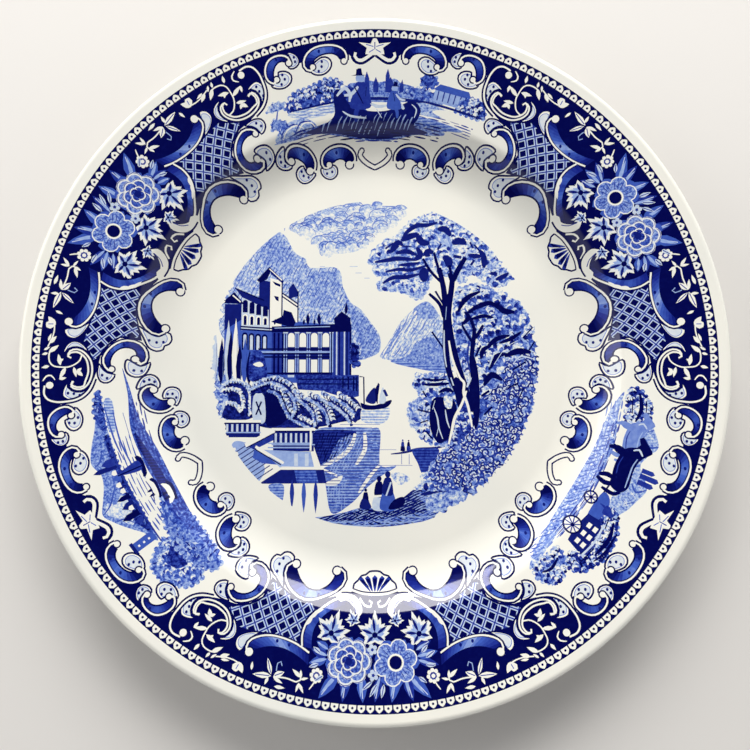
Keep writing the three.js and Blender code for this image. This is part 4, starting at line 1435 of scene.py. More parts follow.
def rider(pen, a, r, size, facing, coat):
    """A rider with a hat, too small for a face."""
    shape(pen, a, r, size, [(-0.24, 0), (-0.22, 0.4), (-0.12, 0.66), (0.1, 0.66), (0.2, 0.4), (0.3, 0.02)],
            coat, facing)
    stroke(pen, a, r, size, [(0.06, 0.56), (0.24, 0.38), (0.44, 0.36)], size * 0.09, PALE, facing)
    stroke(pen, a, r, size, [(0.02, 0.1), (0.16, -0.1), (0.18, -0.34)], size * 0.13, coat, facing)
    shape(pen, a, r, size, [(-0.1, 0.68), (-0.1, 0.84), (0.08, 0.86), (0.1, 0.7)], LIGHT, facing)
    shape(pen, a, r, size, [(-0.2, 0.84), (-0.06, 0.86), (-0.04, 1.02), (0.08, 1), (0.1, 0.87),
            (0.22, 0.85)], NAVY, facing)


def ripples(pen, left, right, low, high, ink, seed, gap=1.1):
    """Level dashes of water or ground in a vignette."""
    rng = random.Random(seed)
    r = low
    while r < high:
        a = left + rng.uniform(0, 2)
        while a < right:
            length = rng.uniform(1.5, 5)
            pen.line([(a, r), ((a + min(a + length, right)) / 2, r), (min(a + length, right), r)],
                     rng.uniform(0.3, 0.55), ink, 0.4)
            a += length + rng.uniform(0.4, 1.6)
        r += gap


def park(pen):
    """Riders before a lake in a park with a far town."""
    foliage(pen, [(-19, 98), (-18.6, 101), (-17, 103.6), (-14.4, 104.2), (-12, 105), (-9.6, 106),
            (-7.4, 104.8), (-6, 102), (-6, 98)], MID, 60, 41, 0.9)
    pen.area([(-6, 98), (-5.6, 103), (-4, 103.6), (-2, 104.4), (1, 103.6), (4, 105), (5.4, 103.6),
            (8, 102.6), (9, 98)], SOFT, STIPPLE)
    for a, top, width in ((-1.6, 107.4, 1.3), (0.2, 105.4, 1.6), (2.6, 108.4, 1.2), (3.2, 105.6, 2),
            (5.6, 105, 1.2)):
        pen.area([(a - width * 0.35, 100), (a - width * 0.35, top - 2.4), (a, top),
                (a + width * 0.35, top - 2.4), (a + width * 0.35, 100)], BLUE, smooth=False)
    foliage(pen, [(9.6, 104), (9.4, 106.4), (11, 108.2), (12.6, 106.6), (12.4, 104.2), (11, 103.4)], MID,
            14, 42, 0.8)
    pen.line([(11, 104), (11, 99)], 0.6, BLUE, smooth=False)
    foliage(pen, [(6, 98), (7, 101.6), (9, 102.6), (12, 102), (14, 100), (14, 98)], SOFT, 26, 43, 0.8)
    pen.area([(12.6, 99), (12.6, 103.4), (20, 103.4), (20, 99)], LIGHT, smooth=False)
    pen.area([(12.2, 103.2), (13.4, 105.4), (19.4, 105.4), (20.4, 103.2)], MID, smooth=False)
    for i in range(6):
        pen.line([(13.4 + 1.2 * i, 103), (13.4 + 1.2 * i, 99.6)], 0.45, BLUE, smooth=False)
    foliage(pen, [(18, 97.6), (18.6, 101.4), (20.4, 103.8), (22.6, 103.6), (24, 101), (24, 98)], MID, 34,
            44, 0.9)
    clumps(pen, [(-18.4, 98.4), (-17, 103), (-12, 104.4), (-8, 105), (-6.4, 101), (-6.4, 98.6)], 46, 67,
            0.9, PALE, NAVY)
    clumps(pen, [(18.4, 98), (19, 101.4), (20.6, 103), (22.6, 102.6), (23.4, 98.4)], 26, 68, 0.9, PALE, NAVY)
    pen.line([(-19, 97.9), (-10, 97.4), (0, 97.8), (12, 98), (24, 98.2)], 1.1, DEEP, 0.4)
    pen.area([(-19, 97.4), (-8, 97.2), (-8, 94.6), (-13, 93.4), (-18, 95)], PALE, RULED)
    ripples(pen, -18, -9, 94.4, 97, SOFT, 45)
    ripples(pen, 9, 23, 90, 94, BLUE, 46, 0.9)
    pen.area([(9, 89.8), (9, 92.6), (15, 92.4), (21, 91.6), (17, 90)], SOFT, RULED)
    pen.area([(10, 97.6), (14, 97.4), (17, 96), (14.4, 93.6), (9.6, 94)], LIGHT, STIPPLE)
    pen.area([(13, 95.2), (15.4, 96.8), (18.6, 96), (21.4, 94.4), (18, 93.6)], PAPER)
    # rocks and a young tree on the left
    pen.area([(-24.4, 89.6), (-22.6, 92.6), (-19.4, 94.6), (-16, 94), (-14, 91.2), (-14.4, 89),
            (-20, 88.4)], LIGHT, STIPPLE)
    for points in ([(-23, 90), (-21.4, 92.4), (-19, 93.2), (-17.4, 91.4)],
                   [(-19.4, 90), (-17.4, 93), (-15.4, 92.6),
                   (-14.6, 90.4)], [(-21, 89.4), (-18, 90.4), (-16, 89.6)]):
        pen.line(points, 0.55, BLUE, 0.4)
        pen.line([(a + 0.4, r - 0.6) for a, r in points], 0.5, PAPER, 0.4)
    pen.line([(-22.4, 90), (-22.6, 95), (-21.2, 100)], 0.55, MID, 0.6)
    foliage(pen, [(-23.6, 100.4), (-21.6, 102.6), (-19.4, 101.4), (-20.4, 99.6)], LIGHT, 14, 47, 0.7)
    foliage(pen, [(-24, 94), (-23, 97), (-21, 95.6), (-20.4, 93)], SOFT, 12, 48, 0.7)
    # ground in front
    pen.area([(-25, 89.4), (-20, 88.4), (-14, 88.2), (-8, 86.2), (-2, 84.4), (4, 84.6), (10, 87), (17, 88.8),
              (14, 90.6), (4, 90.6), (-8, 91.2), (-17, 90)], SOFT, LEAFY)
    ripples(pen, -20, 16, 86.6, 90.6, DEEP, 49, 0.95)
    ripples(pen, -6, 6, 84.4, 87, BLUE, 50, 0.8)
    # the riders
    pen.area([(-9, 88.6), (-8.6, 93), (-8, 98), (-7.6, 101), (-5.6, 102.4), (-4, 101), (-3, 96), (0, 92),
            (8, 91), (9, 88), (4, 86.6), (-4, 87)], BLUE, LEAFY)
    pen.area([(-17, 89.4), (-12, 90.6), (-9.4, 93), (-9, 98), (-8.6, 101.4), (-7.4, 101.8), (-6.6, 99),
            (-5.6, 96), (-2, 93.6), (2, 93.4), (5, 95), (7.4, 97.4), (9, 97.6), (10.4, 95), (10, 91.4),
            (9.4, 89.4), (13, 88.2), (7, 86.4), (2, 84.8), (-4, 85.4), (-10, 87.4)], 0.95)
    hatch(pen, [(-15, 89), (-9, 92), (-3, 92), (4, 93), (9, 92), (8, 87.4), (0, 85.8), (-8, 88)], 62, 1.5,
            0.42, LIGHT, 69)
    ripples(pen, -9, 9, 85.4, 88.4, NAVY, 72, 0.8)
    for points, width in (
        ([(-8.2, 99.6), (-6.4, 102), (-5.4, 100), (-5.6, 97)], 1.3),
        ([(-5.4, 100.4), (-4.6, 97.4), (-3, 95.6)], 1.1),
        ([(3.4, 97.6), (5.4, 96.4), (6.6, 94.6)], 1.5), ([(-1.4, 96.4), (0.8, 95), (3, 95.6)], 1.1),
        ([(8.2, 96.6), (9.4, 95), (9.2, 92)], 0.5),
    ):
        pen.line(points, width, PALE, 0.5)
    rider(pen, -3, 94.6, 13.6, -1, BLUE)
    rider(pen, 4.2, 94.4, 9.4, 1, MID)
    for points in ([(-4.4, 102.6), (-3.4, 99), (-2.6, 96)], [(-1.8, 102), (-2, 98.6)], [(4, 100), (4.4, 97)]):
        pen.line(points, 0.5, NAVY, 0.4)
    for points in ([(-7.4, 94), (-5.6, 92), (-2, 91)], [(0.4, 94), (1.6, 91)], [(-1, 96), (0.4, 94.4)]):
        pen.line(points, 0.8, PALE, 0.4)


def lakeside(pen):
    """A snowy peak over a lake with a small town, a boat and a bushy bank."""
    peak = [(-9.6, 99.6), (-7, 102.4), (-4.6, 105.6), (-2.4, 108.4), (-0.2, 110.6), (2, 108.6), (4.4, 106.4),
            (6.8, 105.6), (9.4, 107.4), (12.4, 105.8), (15.6, 103.4), (19, 101.6), (16, 99.4), (4, 99)]
    pen.area(peak, SOFT, STIPPLE)
    pen.area([(-4.6, 103.6), (-2, 106.8), (-0.2, 109.4), (1.4, 107.4), (0.4, 105), (1.6, 102.4), (-1, 101)],
            PALE, STIPPLE)
    for points in ([(-0.2, 110.4), (0.8, 107), (2.4, 104.6), (4, 102.6)],
                   [(-2.4, 108), (-2.8, 105), (-4.4, 103)],
                   [(8.6, 106.8), (9.2, 104.6), (11, 103)], [(2.6, 108), (3.4, 105.6)],
                   [(12, 105.8), (13, 103.6)]):
        pen.line(points, 0.6, MID, 0.4)
    pen.area([(-9.6, 99.8), (-9.4, 108), (-7.6, 108), (-7.6, 99.8)], MID, smooth=False)
    pen.area([(-9.9, 107.4), (-9.9, 108.6), (-7.3, 108.6), (-7.3, 107.4)], DEEP, smooth=False)
    for r in (106, 104, 102):
        pen.line([(-8.8, r), (-8.4, r)], 0.7, PAPER, smooth=False)
    foliage(pen, [(-7.4, 99.6), (-6, 101.6), (-4, 102.6), (-2, 101.6), (1, 101), (4, 101.4), (8, 100.8),
            (13, 101), (14, 99.6), (4, 99)], BLUE, 60, 51, 0.7)
    for a, top, width, ink in ((-3, 106, 1.6, NAVY), (-1, 104.2, 2, DEEP), (0.8, 104.6, 1.2, NAVY),
                               (7.4, 108, 1.2, DEEP),
                               (8.4, 104.6, 2, BLUE), (5, 103, 1.6, MID), (-4.6, 103.4, 1.4, BLUE)):
        pen.area([(a - width * 0.4, 99.8), (a - width * 0.4, top - 2), (a, top), (a + width * 0.4, top - 2),
                  (a + width * 0.4, 99.8)], ink, smooth=False)
    for a, r in ((-1.6, 101.4), (2.2, 101.2), (3.6, 101.6), (6.2, 101.4)):
        pen.area([(a - 0.5, r - 0.8), (a - 0.5, r + 0.4), (a, r + 1), (a + 0.5, r + 0.4),
                (a + 0.5, r - 0.8)], PAPER, smooth=False)
    pen.line([(-12, 99.6), (-4, 99), (6, 99.2), (15, 99.8)], 0.8, BLUE, 0.4)
    foliage(pen, [(14.6, 100.2), (17, 102.2), (20, 102.4), (23.4, 101), (23, 99.8), (17, 99.2)], MID, 24,
            52, 0.8)
    pen.area([(14.6, 98.8), (14.6, 96.6), (21, 96), (21, 98.8)], LIGHT, RULED)
    foliage(pen, [(-21, 97), (-21.6, 101), (-20, 104.6), (-17.4, 107.4), (-14.4, 108), (-12, 105), (-11, 101),
                  (-10.6, 97.6), (-14, 96)], SOFT, 70, 53, 1.0)
    clumps(pen, [(-20, 97), (-20, 103), (-16, 106.6), (-12.6, 103), (-12, 97.6)], 40, 58, 1.0, PALE, 0.85)
    clumps(pen, [(-22, 91), (-18, 95.6), (-12, 96), (-6, 92), (-8, 88.6), (-16, 88.4)], 60, 59, 1.0, PALE,
            0.8)
    pen.area([(-17.4, 97.4), (-17, 101.4), (-14.6, 102.4), (-13, 99.4), (-13, 97)], BLUE, LEAFY)
    foliage(pen, [(-23, 91), (-22.6, 94.4), (-18, 96.8), (-13, 97), (-8, 94.8), (-3.6, 91.6), (-3, 89.4),
            (-8, 87.6), (-14, 87.2), (-20, 88.8)], SOFT, 130, 54, 1.0)
    pen.area([(-14, 88), (-10, 92), (-5, 91), (0, 90.4), (6, 91), (14, 91.6), (22, 90.6), (28, 91.8),
            (24, 90), (16, 88.4), (8, 86), (0, 85.6), (-8, 86.4)], MID, LEAFY)
    ripples(pen, -9, 13, 92.6, 98.4, MID, 55, 1.3)
    ripples(pen, -10, 20, 86.6, 90.6, BLUE, 56, 0.95)
    for points in ([(8, 96.8), (13, 97.8), (20, 98.8)], [(4, 94.6), (12, 96), (19, 96.2)],
            [(10, 92.6), (18, 93)]):
        pen.line(points, 0.6, MID, 0.3)
    # a sailing boat, and two rowing boats with tiny figures
    pen.area([(3.4, 91.4), (3, 93), (5, 92.4), (7.8, 93.2), (7.2, 91.2)], NAVY)
    pen.area([(4.6, 92.6), (5.2, 99.6), (5.8, 99.8), (6.6, 95.4), (6.8, 92.6)], BLUE)
    pen.line([(5.4, 92), (5.4, 100.6)], 0.5, NAVY, smooth=False)
    pen.area([(-4, 90.6), (0, 89.8), (5, 90), (10, 91), (13, 90.6), (8, 88.6), (2, 87.4), (-4, 88)], DEEP,
            RULED)
    for a, r in ((-0.8, 91.4), (-3, 87.9)):
        shape(pen, a, r, 1.0, [(-3.4, -0.6), (3, -1.4), (4.6, 0.2), (-2, 0.6)], NAVY)
        shape(pen, a, r, 1.0, [(-3.6, 2.2), (-2.6, 0), (2.8, -0.4), (4.6, 1.5), (0.8, 1.1)], PAPER)
        stroke(pen, a, r, 1.0, [(-3.6, 2.2), (0.6, 1.2), (4.5, 1.6)], 0.4, BLUE)
        for x in (-1.2, 0.6):
            shape(pen, a, r, 1.0, [(x - 0.6, 1), (x, 3), (x + 0.6, 1)], NAVY)


def coach_road(pen):
    """A coach and horses on a road before trees and far mountains."""
    pen.area([(-18, 99.6), (-16, 102.6), (-12.6, 105.8), (-10.4, 103.6), (-8, 102), (-6, 104.6), (-4, 107),
            (-1, 105.4), (2, 103.4), (4, 99)], LIGHT, STIPPLE)
    for points in ([(-12.6, 105.8), (-12, 103), (-13.4, 101)], [(-4, 106.8), (-2.8, 104), (-4, 101.6)],
                   [(-8, 102), (-7, 100)], [(-1, 105), (0.4, 102.6)], [(-15.6, 103), (-14.8, 101)]):
        pen.line(points, 0.8, MID, 0.4)
    for shift in range(6):
        pen.line([(-3.6 + shift, 106 - 0.5 * shift), (-4.6 + shift * 1.1, 103.4 - 0.4 * shift)], 0.5,
                 (PAPER, MID)[shift % 2], 0.3)
    for a, top, width in ((-7.2, 107.6, 1.5), (-6.1, 109.6, 1.7), (-4.8, 108.6, 1.7)):
        pen.area([(a - width * 0.3, 103), (a - width * 0.3, top - 0.9), (a, top),
                (a + width * 0.3, top - 0.9), (a + width * 0.3, 103)], BLUE, smooth=False)
    for outline, ink, dabs, seed in (
        ([(-23.4, 93.6), (-22.6, 98), (-19.4, 101), (-16.6, 100), (-15, 96.6), (-16, 93)], BLUE, 50, 61),
        ([(3, 98.6), (4, 103.4), (7.4, 106.4), (11.4, 107), (15, 105.4), (17, 102), (16, 98)], BLUE, 90, 62),
        ([(16, 93.4), (17, 98.4), (19.4, 101.6), (22, 101), (23.6, 96), (22, 93)], SOFT, 40, 63),
    ):
        foliage(pen, outline, ink, dabs, seed, 0.9)
        clumps(pen, outline, dabs, seed + 5, 1.0, PALE, NAVY)
    for points, width in (
        ([(-22.6, 96.4), (-19.4, 97.6), (-16.4, 96.4)], 1.4), ([(-21.6, 94.2), (-18, 94.8)], 1.2),
        ([(-20.6, 99.2), (-18, 99.4)], 1.1), ([(4.6, 102.6), (8, 104.4), (12, 104)], 1.5),
        ([(6.4, 105.4), (10, 106), (13, 105)], 1.0), ([(11, 102.4), (15, 102)], 1.4),
        ([(4, 100.4), (6.6, 101.4)], 1.3),
        ([(17.4, 95.8), (20, 97), (22, 96)], 1.1),
    ):
        pen.line(points, width, NAVY, 0.3)
    pen.area([(-22.6, 91.2), (-18, 90.4), (-10, 91.4), (0, 90.6), (10, 89.6), (18, 91.4), (23.6, 93),
            (21, 89.6), (12, 86.2), (2, 85.4), (-8, 86.2), (-18, 88)], LIGHT, LEAFY)
    ripples(pen, -21, 22, 87, 92, SOFT, 64, 1.0)
    ripples(pen, -16, 14, 89.6, 92, BLUE, 65, 0.9)
    hatch(pen, [(-22, 90), (-10, 91), (0, 90), (12, 89), (22, 91), (20, 88), (2, 86), (-16, 88)], 200, 1.0,
            0.4, MID, 66)
    horse(pen, -12.4, 90.6, 12.6, -1, SOFT)
    horse(pen, -6.4, 90.2, 14.4, -1, NAVY)
    pen.line([(-5, 96), (0, 94.8), (5, 94.4)], 0.6, NAVY)
    # the coach
    pen.area([(0.4, 94.4), (1, 97.6), (3.6, 98.6), (6.4, 97.4), (6.4, 94)], MID)
    pen.area([(6, 94), (5.8, 98.6), (7, 100.4), (13, 100.8), (13.6, 99), (13.2, 94), (10, 93)], DEEP,
            smooth=False)
    for a in (8, 10, 12):
        for r in (95.8, 98.2):
            pen.area([(a - 0.6, r), (a - 0.6, r + 1.5), (a + 0.5, r + 1.5), (a + 0.5, r)], PAPER,
                    smooth=False)
    pen.line([(6, 100.4), (10, 101.2), (13.6, 100.8)], 0.7, PALE)
    for a, r, radius, spokes in ((10, 92, 3.3, 10), (2.6, 91.8, 2.4, 8)):
        pen.disc(a, r, radius, NAVY, sides=24)
        pen.disc(a, r, radius - 0.6, PAPER, sides=20)
        x, y = pen.place(a, r)
        for i in range(spokes):
            turn = 2 * math.pi * i / spokes
            pen.track([(x, y), (x + radius * 0.4 * math.cos(turn), y + radius * 0.4 * math.sin(turn)),
                       (x + radius * 0.84 * math.cos(turn), y + radius * 0.84 * math.sin(turn))], 0.4, BLUE)
        pen.disc(a, r, 0.7, NAVY, sides=8)
    rider(pen, 3.4, 97.6, 6, -1, BLUE)


def border_drawing():
    """The whole border: ground, three pictures and the ornament between them."""
    sheet = []
    whole = around(sheet, 90)
    full_ring(whole, BORDER_INNER_RADIUS, BORDER_RADIUS, PAPER)
    for direction, picture in zip(VIGNETTE_DIRECTIONS, (park, lakeside, coach_road)):
        picture(around(sheet, direction))
    for direction in VIGNETTE_DIRECTIONS:
        for side in (1, -1):
            border_half(around(sheet, direction, side))
        heart_tip(around(sheet, direction))
    for direction in VIGNETTE_DIRECTIONS:
        flowers(around(sheet, direction))
        for side in (1, -1):
            side_band(around(sheet, direction, side))
        shell(around(sheet, direction))
    bead_band(whole)
    return sheet


# ---------------------------------------------------------------- films

def grid_points(inner, outer, step):
    """Evenly spread points on circles, so that no triangle of a film is much larger than a step."""
    points = []
    r = max(inner, 0) + step / 2
    while r < outer:
        count = max(6, round(2 * math.pi * r / step))
        points += [(r * math.cos(2 * math.pi * (i + 0.3) / count),
                r * math.sin(2 * math.pi * (i + 0.3) / count)) for i in range(count)]
        r += step * (0.4 if SHOULDER_START[0] - 1 < r < SHOULDER_END[0] + 1 else 1.0)
    return points


def covered(outline, x, y):
    """Which of the points an outline goes around at least once."""
    turns = np.zeros(len(x), int)
    for (ax, ay), (bx, by) in zip(outline, outline[1:] + outline[:1]):
        if ay != by:
            crossing = ((ay > y) != (by > y)) & (x < ax + (bx - ax) * (y - ay) / (by - ay))
            turns[crossing] += 1 if by > ay else -1
    return turns != 0


def painted(sheet, x, y):
    """The number of the last shape painted over each point, or -1."""
    order = np.argsort(x)
    x, y = x[order], y[order]
    top = np.full(len(x), -1)
    windows = {}
    for number, (outline, ink, _, window) in enumerate(sheet):
        first = np.searchsorted(x, min(p[0] for p in outline))
        last = np.searchsorted(x, max(p[0] for p in outline))
        inside = covered(outline, x[first:last], y[first:last])
        if window is not None:
            inside &= windows[window][first:last]
        if ink is None or number == 0:
            windows[number] = np.zeros(len(x), bool)
            windows[number][first:last] = inside
        if ink is not None:
            top[first:last][inside] = number
    unsorted = np.empty_like(top)
    unsorted[order] = top
    return unsorted


def divided(outline):
    """An outline with no edge longer than EDGE_STEP, so that it follows the curved face."""
    points = []
    for a, b in zip(outline, outline[1:] + outline[:1]):
        count = math.ceil(math.dist(a, b) / EDGE_STEP)
        points += [(a[0] + (b[0] - a[0]) * i / count, a[1] + (b[1] - a[1]) * i / count) for i in range(count)]
    return points


def printed_film(name, sheet, inner, outer, step, materials):
    """A drawing cut into triangles and laid on the face of the plate."""
    points = []
    edges = []
    for outline, _, _, _ in sheet:
        outline = divided(outline)
        first, count = len(points), len(outline)
        points += outline
        edges += [(first + i, first + (i + 1) % count) for i in range(count)]
    points += grid_points(inner, outer, step)
    vertices, _, triangles, _, _, _ = delaunay_2d_cdt(points, edges, [], 0, MERGE_DISTANCE, False)
    flat = np.array([(v.x, v.y) for v in vertices])
    corners = np.array(triangles)
    a, b, c = (flat[corners[:, i]] for i in range(3))
    doubled = (b[:, 0] - a[:, 0]) * (c[:, 1] - a[:, 1]) - (c[:, 0] - a[:, 0]) * (b[:, 1] - a[:, 1])
    corners[doubled < 0] = corners[doubled < 0][:, ::-1]
    centres = (a + b + c) / 3
    top = painted(sheet, centres[:, 0], centres[:, 1])
    kept = top >= 0
    inks = [sheet[number][1] for number in top[kept] for _ in range(3)]
    kinds = [sheet[number][2] for number in top[kept]]
    places = []
    normals = []
    for x, y in flat:
        r = math.hypot(x, y)
        slope = face_slope(r)
        inside = max(0.0, min(r - inner, outer - r))
        lift = FILM_LIFT * min(1.0, EDGE_LIFT_SHARE + inside / LIFT_RAMP)
        places.append((x * MM, y * MM, (face_height(r) + lift) * MM))
        lean = math.sin(slope) / r if slope else 0.0
        normals.append((-x * lean, -y * lean, math.cos(slope)))
    mesh = bpy.data.meshes.new(name)
    mesh.from_pydata(places, [], corners[kept].tolist())
    for material in materials:
        mesh.materials.append(material)
    mesh.polygons.foreach_set("material_index", kinds)
    mesh.attributes.new("ink", "FLOAT", "CORNER").data.foreach_set("value", inks)
    mesh.shade_smooth()
    mesh.normals_split_custom_set_from_vertices(normals)
    piece = bpy.data.objects.new(name, mesh)
    bpy.context.scene.collection.objects.link(piece)
    return piece


# ---------------------------------------------------------------- materials

def new_material(name):
    """A material with its nodes, links and shader."""
    material = bpy.data.materials.new(name)
    material.use_nodes = True
    nodes = material.node_tree.nodes
    return material, nodes, material.node_tree.links, nodes["Principled BSDF"]


def noise(nodes, links, place, per_mm, detail=2.0, roughness=0.5):
    """Noise whose lumps are about 1 / per_mm millimetres."""
    node = nodes.new("ShaderNodeTexNoise")
    node.inputs["Scale"].default_value = per_mm / MM
    node.inputs["Detail"].default_value = detail
    node.inputs["Roughness"].default_value = roughness
    links.new(place, node.inputs["Vector"])
    return node.outputs["Fac"]


def maths(nodes, links, operation, *values):
    """A maths node over sockets and numbers."""
    node = nodes.new("ShaderNodeMath")
    node.operation = operation
    for socket, value in zip(node.inputs, values):
        if isinstance(value, (int, float)):
            socket.default_value = value
        else:
            links.new(value, socket)
    return node.outputs[0]


def ramp(nodes, links, value, stops):
    """A colour ramp over a value."""
    node = nodes.new("ShaderNodeValToRGB")
    elements = node.color_ramp.elements
    while len(elements) < len(stops):
        elements.new(0.5)
    for element, (place, colour) in zip(elements, stops):
        element.position = place
        element.color = (*colour, 1)
    links.new(value, node.inputs[0])
    return node.outputs["Color"]


def object_place(nodes):
    """Places in the object's own axes, in metres."""
    return nodes.new("ShaderNodeTexCoord").outputs["Object"]


WHITE_WARM = (0.86, 0.845, 0.765)
WHITE_COOL = (0.80, 0.80, 0.74)


def glazed_white(nodes, links, place):
    """The cream white of glazed earthenware, with broad faint changes of tone."""
    return ramp(nodes, links, noise(nodes, links, place, 0.02, 2), [(0.35, WHITE_COOL), (0.65, WHITE_WARM)])


def glaze_surface(nodes, links, place, shader):
    """The shine of the glaze, with slow ripples and fine orange peel."""
    broad = noise(nodes, links, place, 0.035, 1)
    fine = noise(nodes, links, place, 0.5, 2)
    height = maths(nodes, links, "ADD", maths(nodes, links, "MULTIPLY", broad, 1.0),
                   maths(nodes, links, "MULTIPLY", fine, 0.02))
    bump = nodes.new("ShaderNodeBump")
    bump.inputs["Strength"].default_value = 0.6
    bump.inputs["Distance"].default_value = 0.25 * MM
    links.new(height, bump.inputs["Height"])
    links.new(bump.outputs["Normal"], shader.inputs["Normal"])
    shader.inputs["Roughness"].default_value = 0.07
    shader.inputs["IOR"].default_value = 1.5


INK_COLOURS = [
    (0.0, (1.0, 1.0, 1.0)),
    (0.16, (0.66, 0.76, 0.98)),
    (0.34, (0.38, 0.52, 0.95)),
    (0.6, (0.066, 0.145, 0.68)),
    (0.82, (0.012, 0.025, 0.33)),
    (1.0, (0.001, 0.0022, 0.095)),
]


def print_material(kind):
    """Cobalt ink under glaze, engraved in one of the four ways."""
    name = ("print_wash", "print_stipple", "print_leafy", "print_ruled")[kind]
    material, nodes, links, shader = new_material(name)
    place = object_place(nodes)
    attribute = nodes.new("ShaderNodeAttribute")
    attribute.attribute_name = "ink"
    ink = attribute.outputs["Fac"]
    coarse, fine = ((0.6, 0.3), (1.3, 1.7), (0.9, 2.3), (0.9, 1.0))[kind]
    lumps = maths(nodes, links, "SUBTRACT", noise(nodes, links, place, coarse, 3, 0.6), 0.5)
    change = maths(nodes, links, "MULTIPLY", lumps, fine)
    if kind == RULED:
        split = nodes.new("ShaderNodeSeparateXYZ")
        links.new(place, split.inputs[0])
        wave = maths(nodes, links, "SINE", maths(nodes, links, "MULTIPLY", split.outputs["Y"],
                2 * math.pi / (1.05 * MM)))
        change = maths(nodes, links, "ADD", change, maths(nodes, links, "MULTIPLY", wave, 0.16))
    # bare paper takes no ink, and solid ink hides the engraving
    room = maths(nodes, links, "MULTIPLY", maths(nodes, links, "MINIMUM",
            maths(nodes, links, "MULTIPLY", ink, 5.0), 1.0), maths(nodes, links, "SUBTRACT", 1.25, ink))
    strength = maths(nodes, links, "ADD", ink, maths(nodes, links, "MULTIPLY", change, room))
    colour = ramp(nodes, links, strength, INK_COLOURS)
    mix = nodes.new("ShaderNodeMix")
    mix.data_type = "RGBA"
    mix.blend_type = "MULTIPLY"
    mix.inputs["Factor"].default_value = 1.0
    links.new(glazed_white(nodes, links, place), mix.inputs["A"])
    links.new(colour, mix.inputs["B"])
    links.new(mix.outputs["Result"], shader.inputs["Base Color"])
    glaze_surface(nodes, links, place, shader)
    return material


def glaze_material():
    """Warm white under a glossy glaze."""
    material, nodes, links, shader = new_material("cream_white_glaze")
    place = object_place(nodes)
    links.new(glazed_white(nodes, links, place), shader.inputs["Base Color"])
    glaze_surface(nodes, links, place, shader)
    return material


def biscuit_material():
    """Bare fired earthenware, matt and slightly gritty."""
    material, nodes, links, shader = new_material("biscuit_earthenware")
    place = object_place(nodes)
    grit = noise(nodes, links, place, 1.6, 4, 0.7)
    links.new(ramp(nodes, links, grit, [(0.3, (0.5, 0.42, 0.31)), (0.7, (0.78, 0.7, 0.57))]),
            shader.inputs["Base Color"])
    shader.inputs["Roughness"].default_value = 0.9
    return material


# ---------------------------------------------------------------- pieces

def plate():
    """The five pieces of the plate, each hiding the CAD node that it stands for."""
    biscuit = biscuit_material()
    glaze = glaze_material()
    inks = [print_material(kind) for kind in (WASH, STIPPLE, LEAFY, RULED)]

    body_section = (face_section(GLAZE) + back_section(GLAZE) + [(FOOT_OUTER_RADIUS - GLAZE - FOOT_CHAMFER,
            0), (FOOT_INNER_RADIUS + FOOT_CHAMFER, 0)] + [(FOOT_INNER_RADIUS, GLAZE_LINE),
            (FOOT_INNER_RADIUS - FOOT_DRAFT, RECESS_HEIGHT), (0, RECESS_HEIGHT)])
    body = turned("fired_body", body_section)
    body.data.materials.append(biscuit)
    coat_section = face_section(0) + back_section(0) + back_section(GLAZE)[::-1] + face_section(GLAZE)[::-1][1:]
    coat = turned("glaze_coat", coat_section)
    coat.data.materials.append(glaze)
    recess_section = [
        (0, RECESS_HEIGHT - GLAZE), (FOOT_INNER_RADIUS - GLAZE - FOOT_DRAFT, RECESS_HEIGHT - GLAZE),
        (FOOT_INNER_RADIUS - GLAZE, GLAZE_LINE), (FOOT_INNER_RADIUS, GLAZE_LINE),
        (FOOT_INNER_RADIUS - FOOT_DRAFT, RECESS_HEIGHT), (0, RECESS_HEIGHT)]
    skin = turned("recess_skin", recess_section[::-1])
    skin.data.materials.append(glaze)

    border = printed_film("border_film", border_drawing(), BORDER_INNER_RADIUS, BORDER_RADIUS, BORDER_GRID,
            inks)
    scene = printed_film("scene_film", scene_drawing(), -SCENE_RADIUS, SCENE_RADIUS, SCENE_GRID, inks)

    for piece, node, slot in (
        (body, "earthenware_body", "biscuit"),
        (border, "border_print", "cobalt_print"),
        (scene, "scene_print", "cobalt_print"),
        (coat, "face_glaze", "clear_glaze"),
        (skin, "recess_glaze", "clear_glaze"),
    ):
        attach(piece, "root")
        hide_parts(node)


# ---------------------------------------------------------------- studio

# The camera stands almost over the plate, a little towards its bottom edge.
CAMERA_TARGET = (0.00005, -0.0060, 0.020)
CAMERA_DISTANCE = 0.2301
CAMERA_TILT = math.radians(4.41)
CAMERA_LENS = 30.95


def camera():
    """The camera at the photograph's viewing angle."""
    data = bpy.data.cameras.new("camera")
    data.lens = CAMERA_LENS
    data.sensor_width = 36
    data.clip_start = 0.01
    eye = bpy.data.objects.new("camera", data)
    eye.location = (
        CAMERA_TARGET[0],
        CAMERA_TARGET[1] - CAMERA_DISTANCE * math.sin(CAMERA_TILT),
        CAMERA_TARGET[2] + CAMERA_DISTANCE * math.cos(CAMERA_TILT))
    eye.rotation_euler = (CAMERA_TILT, 0, 0)
    bpy.context.scene.collection.objects.link(eye)
    bpy.context.scene.camera = eye


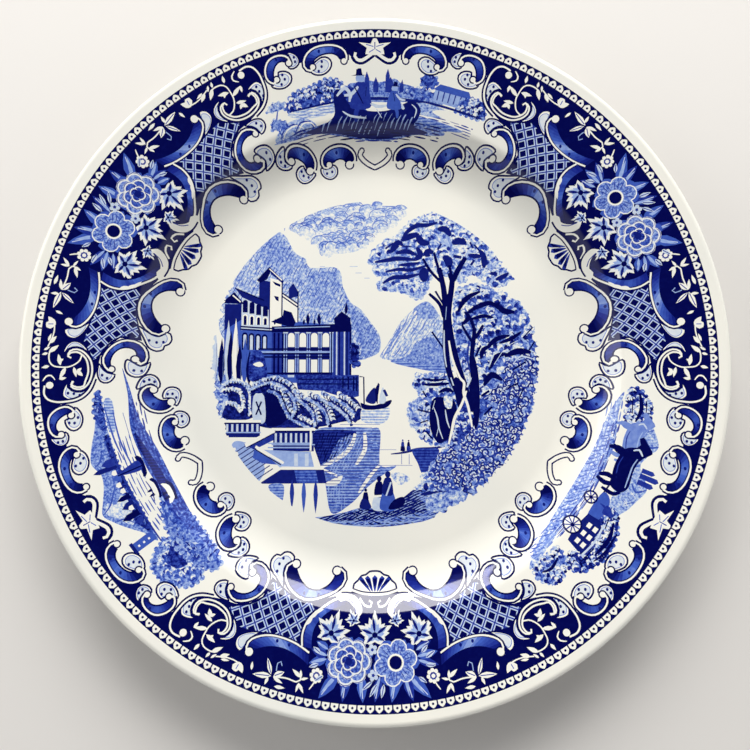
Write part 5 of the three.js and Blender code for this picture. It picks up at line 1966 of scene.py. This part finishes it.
def floor():
    """A plain pale floor under the plate."""
    mesh = bpy.data.meshes.new("floor")
    mesh.from_pydata([(-3, -3, 0), (3, -3, 0), (3, 3, 0), (-3, 3, 0)], [], [(0, 1, 2, 3)])
    ground = bpy.data.objects.new("floor", mesh)
    bpy.context.scene.collection.objects.link(ground)
    material, _, _, shader = new_material("floor")
    shader.inputs["Base Color"].default_value = (0.74, 0.72, 0.69, 1)
    shader.inputs["Roughness"].default_value = 0.8
    mesh.materials.append(material)


def area_light(name, place, aim, size, power, colour):
    """A soft rectangular light that faces a point."""
    data = bpy.data.lights.new(name, "AREA")
    data.shape = "RECTANGLE"
    data.size, data.size_y = size
    data.energy = power
    data.color = colour
    lamp = bpy.data.objects.new(name, data)
    lamp.location = place
    direction = [a - b for a, b in zip(aim, place)]
    flat = math.hypot(direction[0], direction[1])
    lamp.rotation_euler = (
        math.atan2(flat, -direction[2]), 0, math.atan2(direction[1], direction[0]) - math.pi / 2)
    bpy.context.scene.collection.objects.link(lamp)


def room():
    """Dim overhead and brighter all round, so the glaze mirrors nothing bright straight up."""
    world = bpy.data.worlds.new("room")
    world.use_nodes = True
    bpy.context.scene.world = world
    nodes, links = world.node_tree.nodes, world.node_tree.links
    split = nodes.new("ShaderNodeSeparateXYZ")
    links.new(nodes.new("ShaderNodeTexCoord").outputs["Generated"], split.inputs[0])
    links.new(
        ramp(nodes, links, split.outputs["Z"], [(0.0, (1.0, 1.0, 1.0)), (0.5, (0.9, 0.9, 0.92)),
                                                (0.78, (0.02, 0.02, 0.022))]),
        nodes["Background"].inputs["Color"])
    nodes["Background"].inputs["Strength"].default_value = 0.96


def studio():
    """Camera, floor and soft light."""
    camera()
    floor()
    room()
    distance, rise = 1.5, math.radians(31)
    area_light(
        "window", (0.05, distance * math.cos(rise), distance * math.sin(rise)), (0, 0, 0.01), (1.3, 0.62), 31,
        (1.0, 0.98, 0.95))
    area_light("fill_left", (-1.2, 0.4, 0.7), (0, 0, 0.01), (0.8, 0.8), 4, (1.0, 0.98, 0.95))
    bpy.context.scene.view_settings.view_transform = "Standard"


plate()
studio()
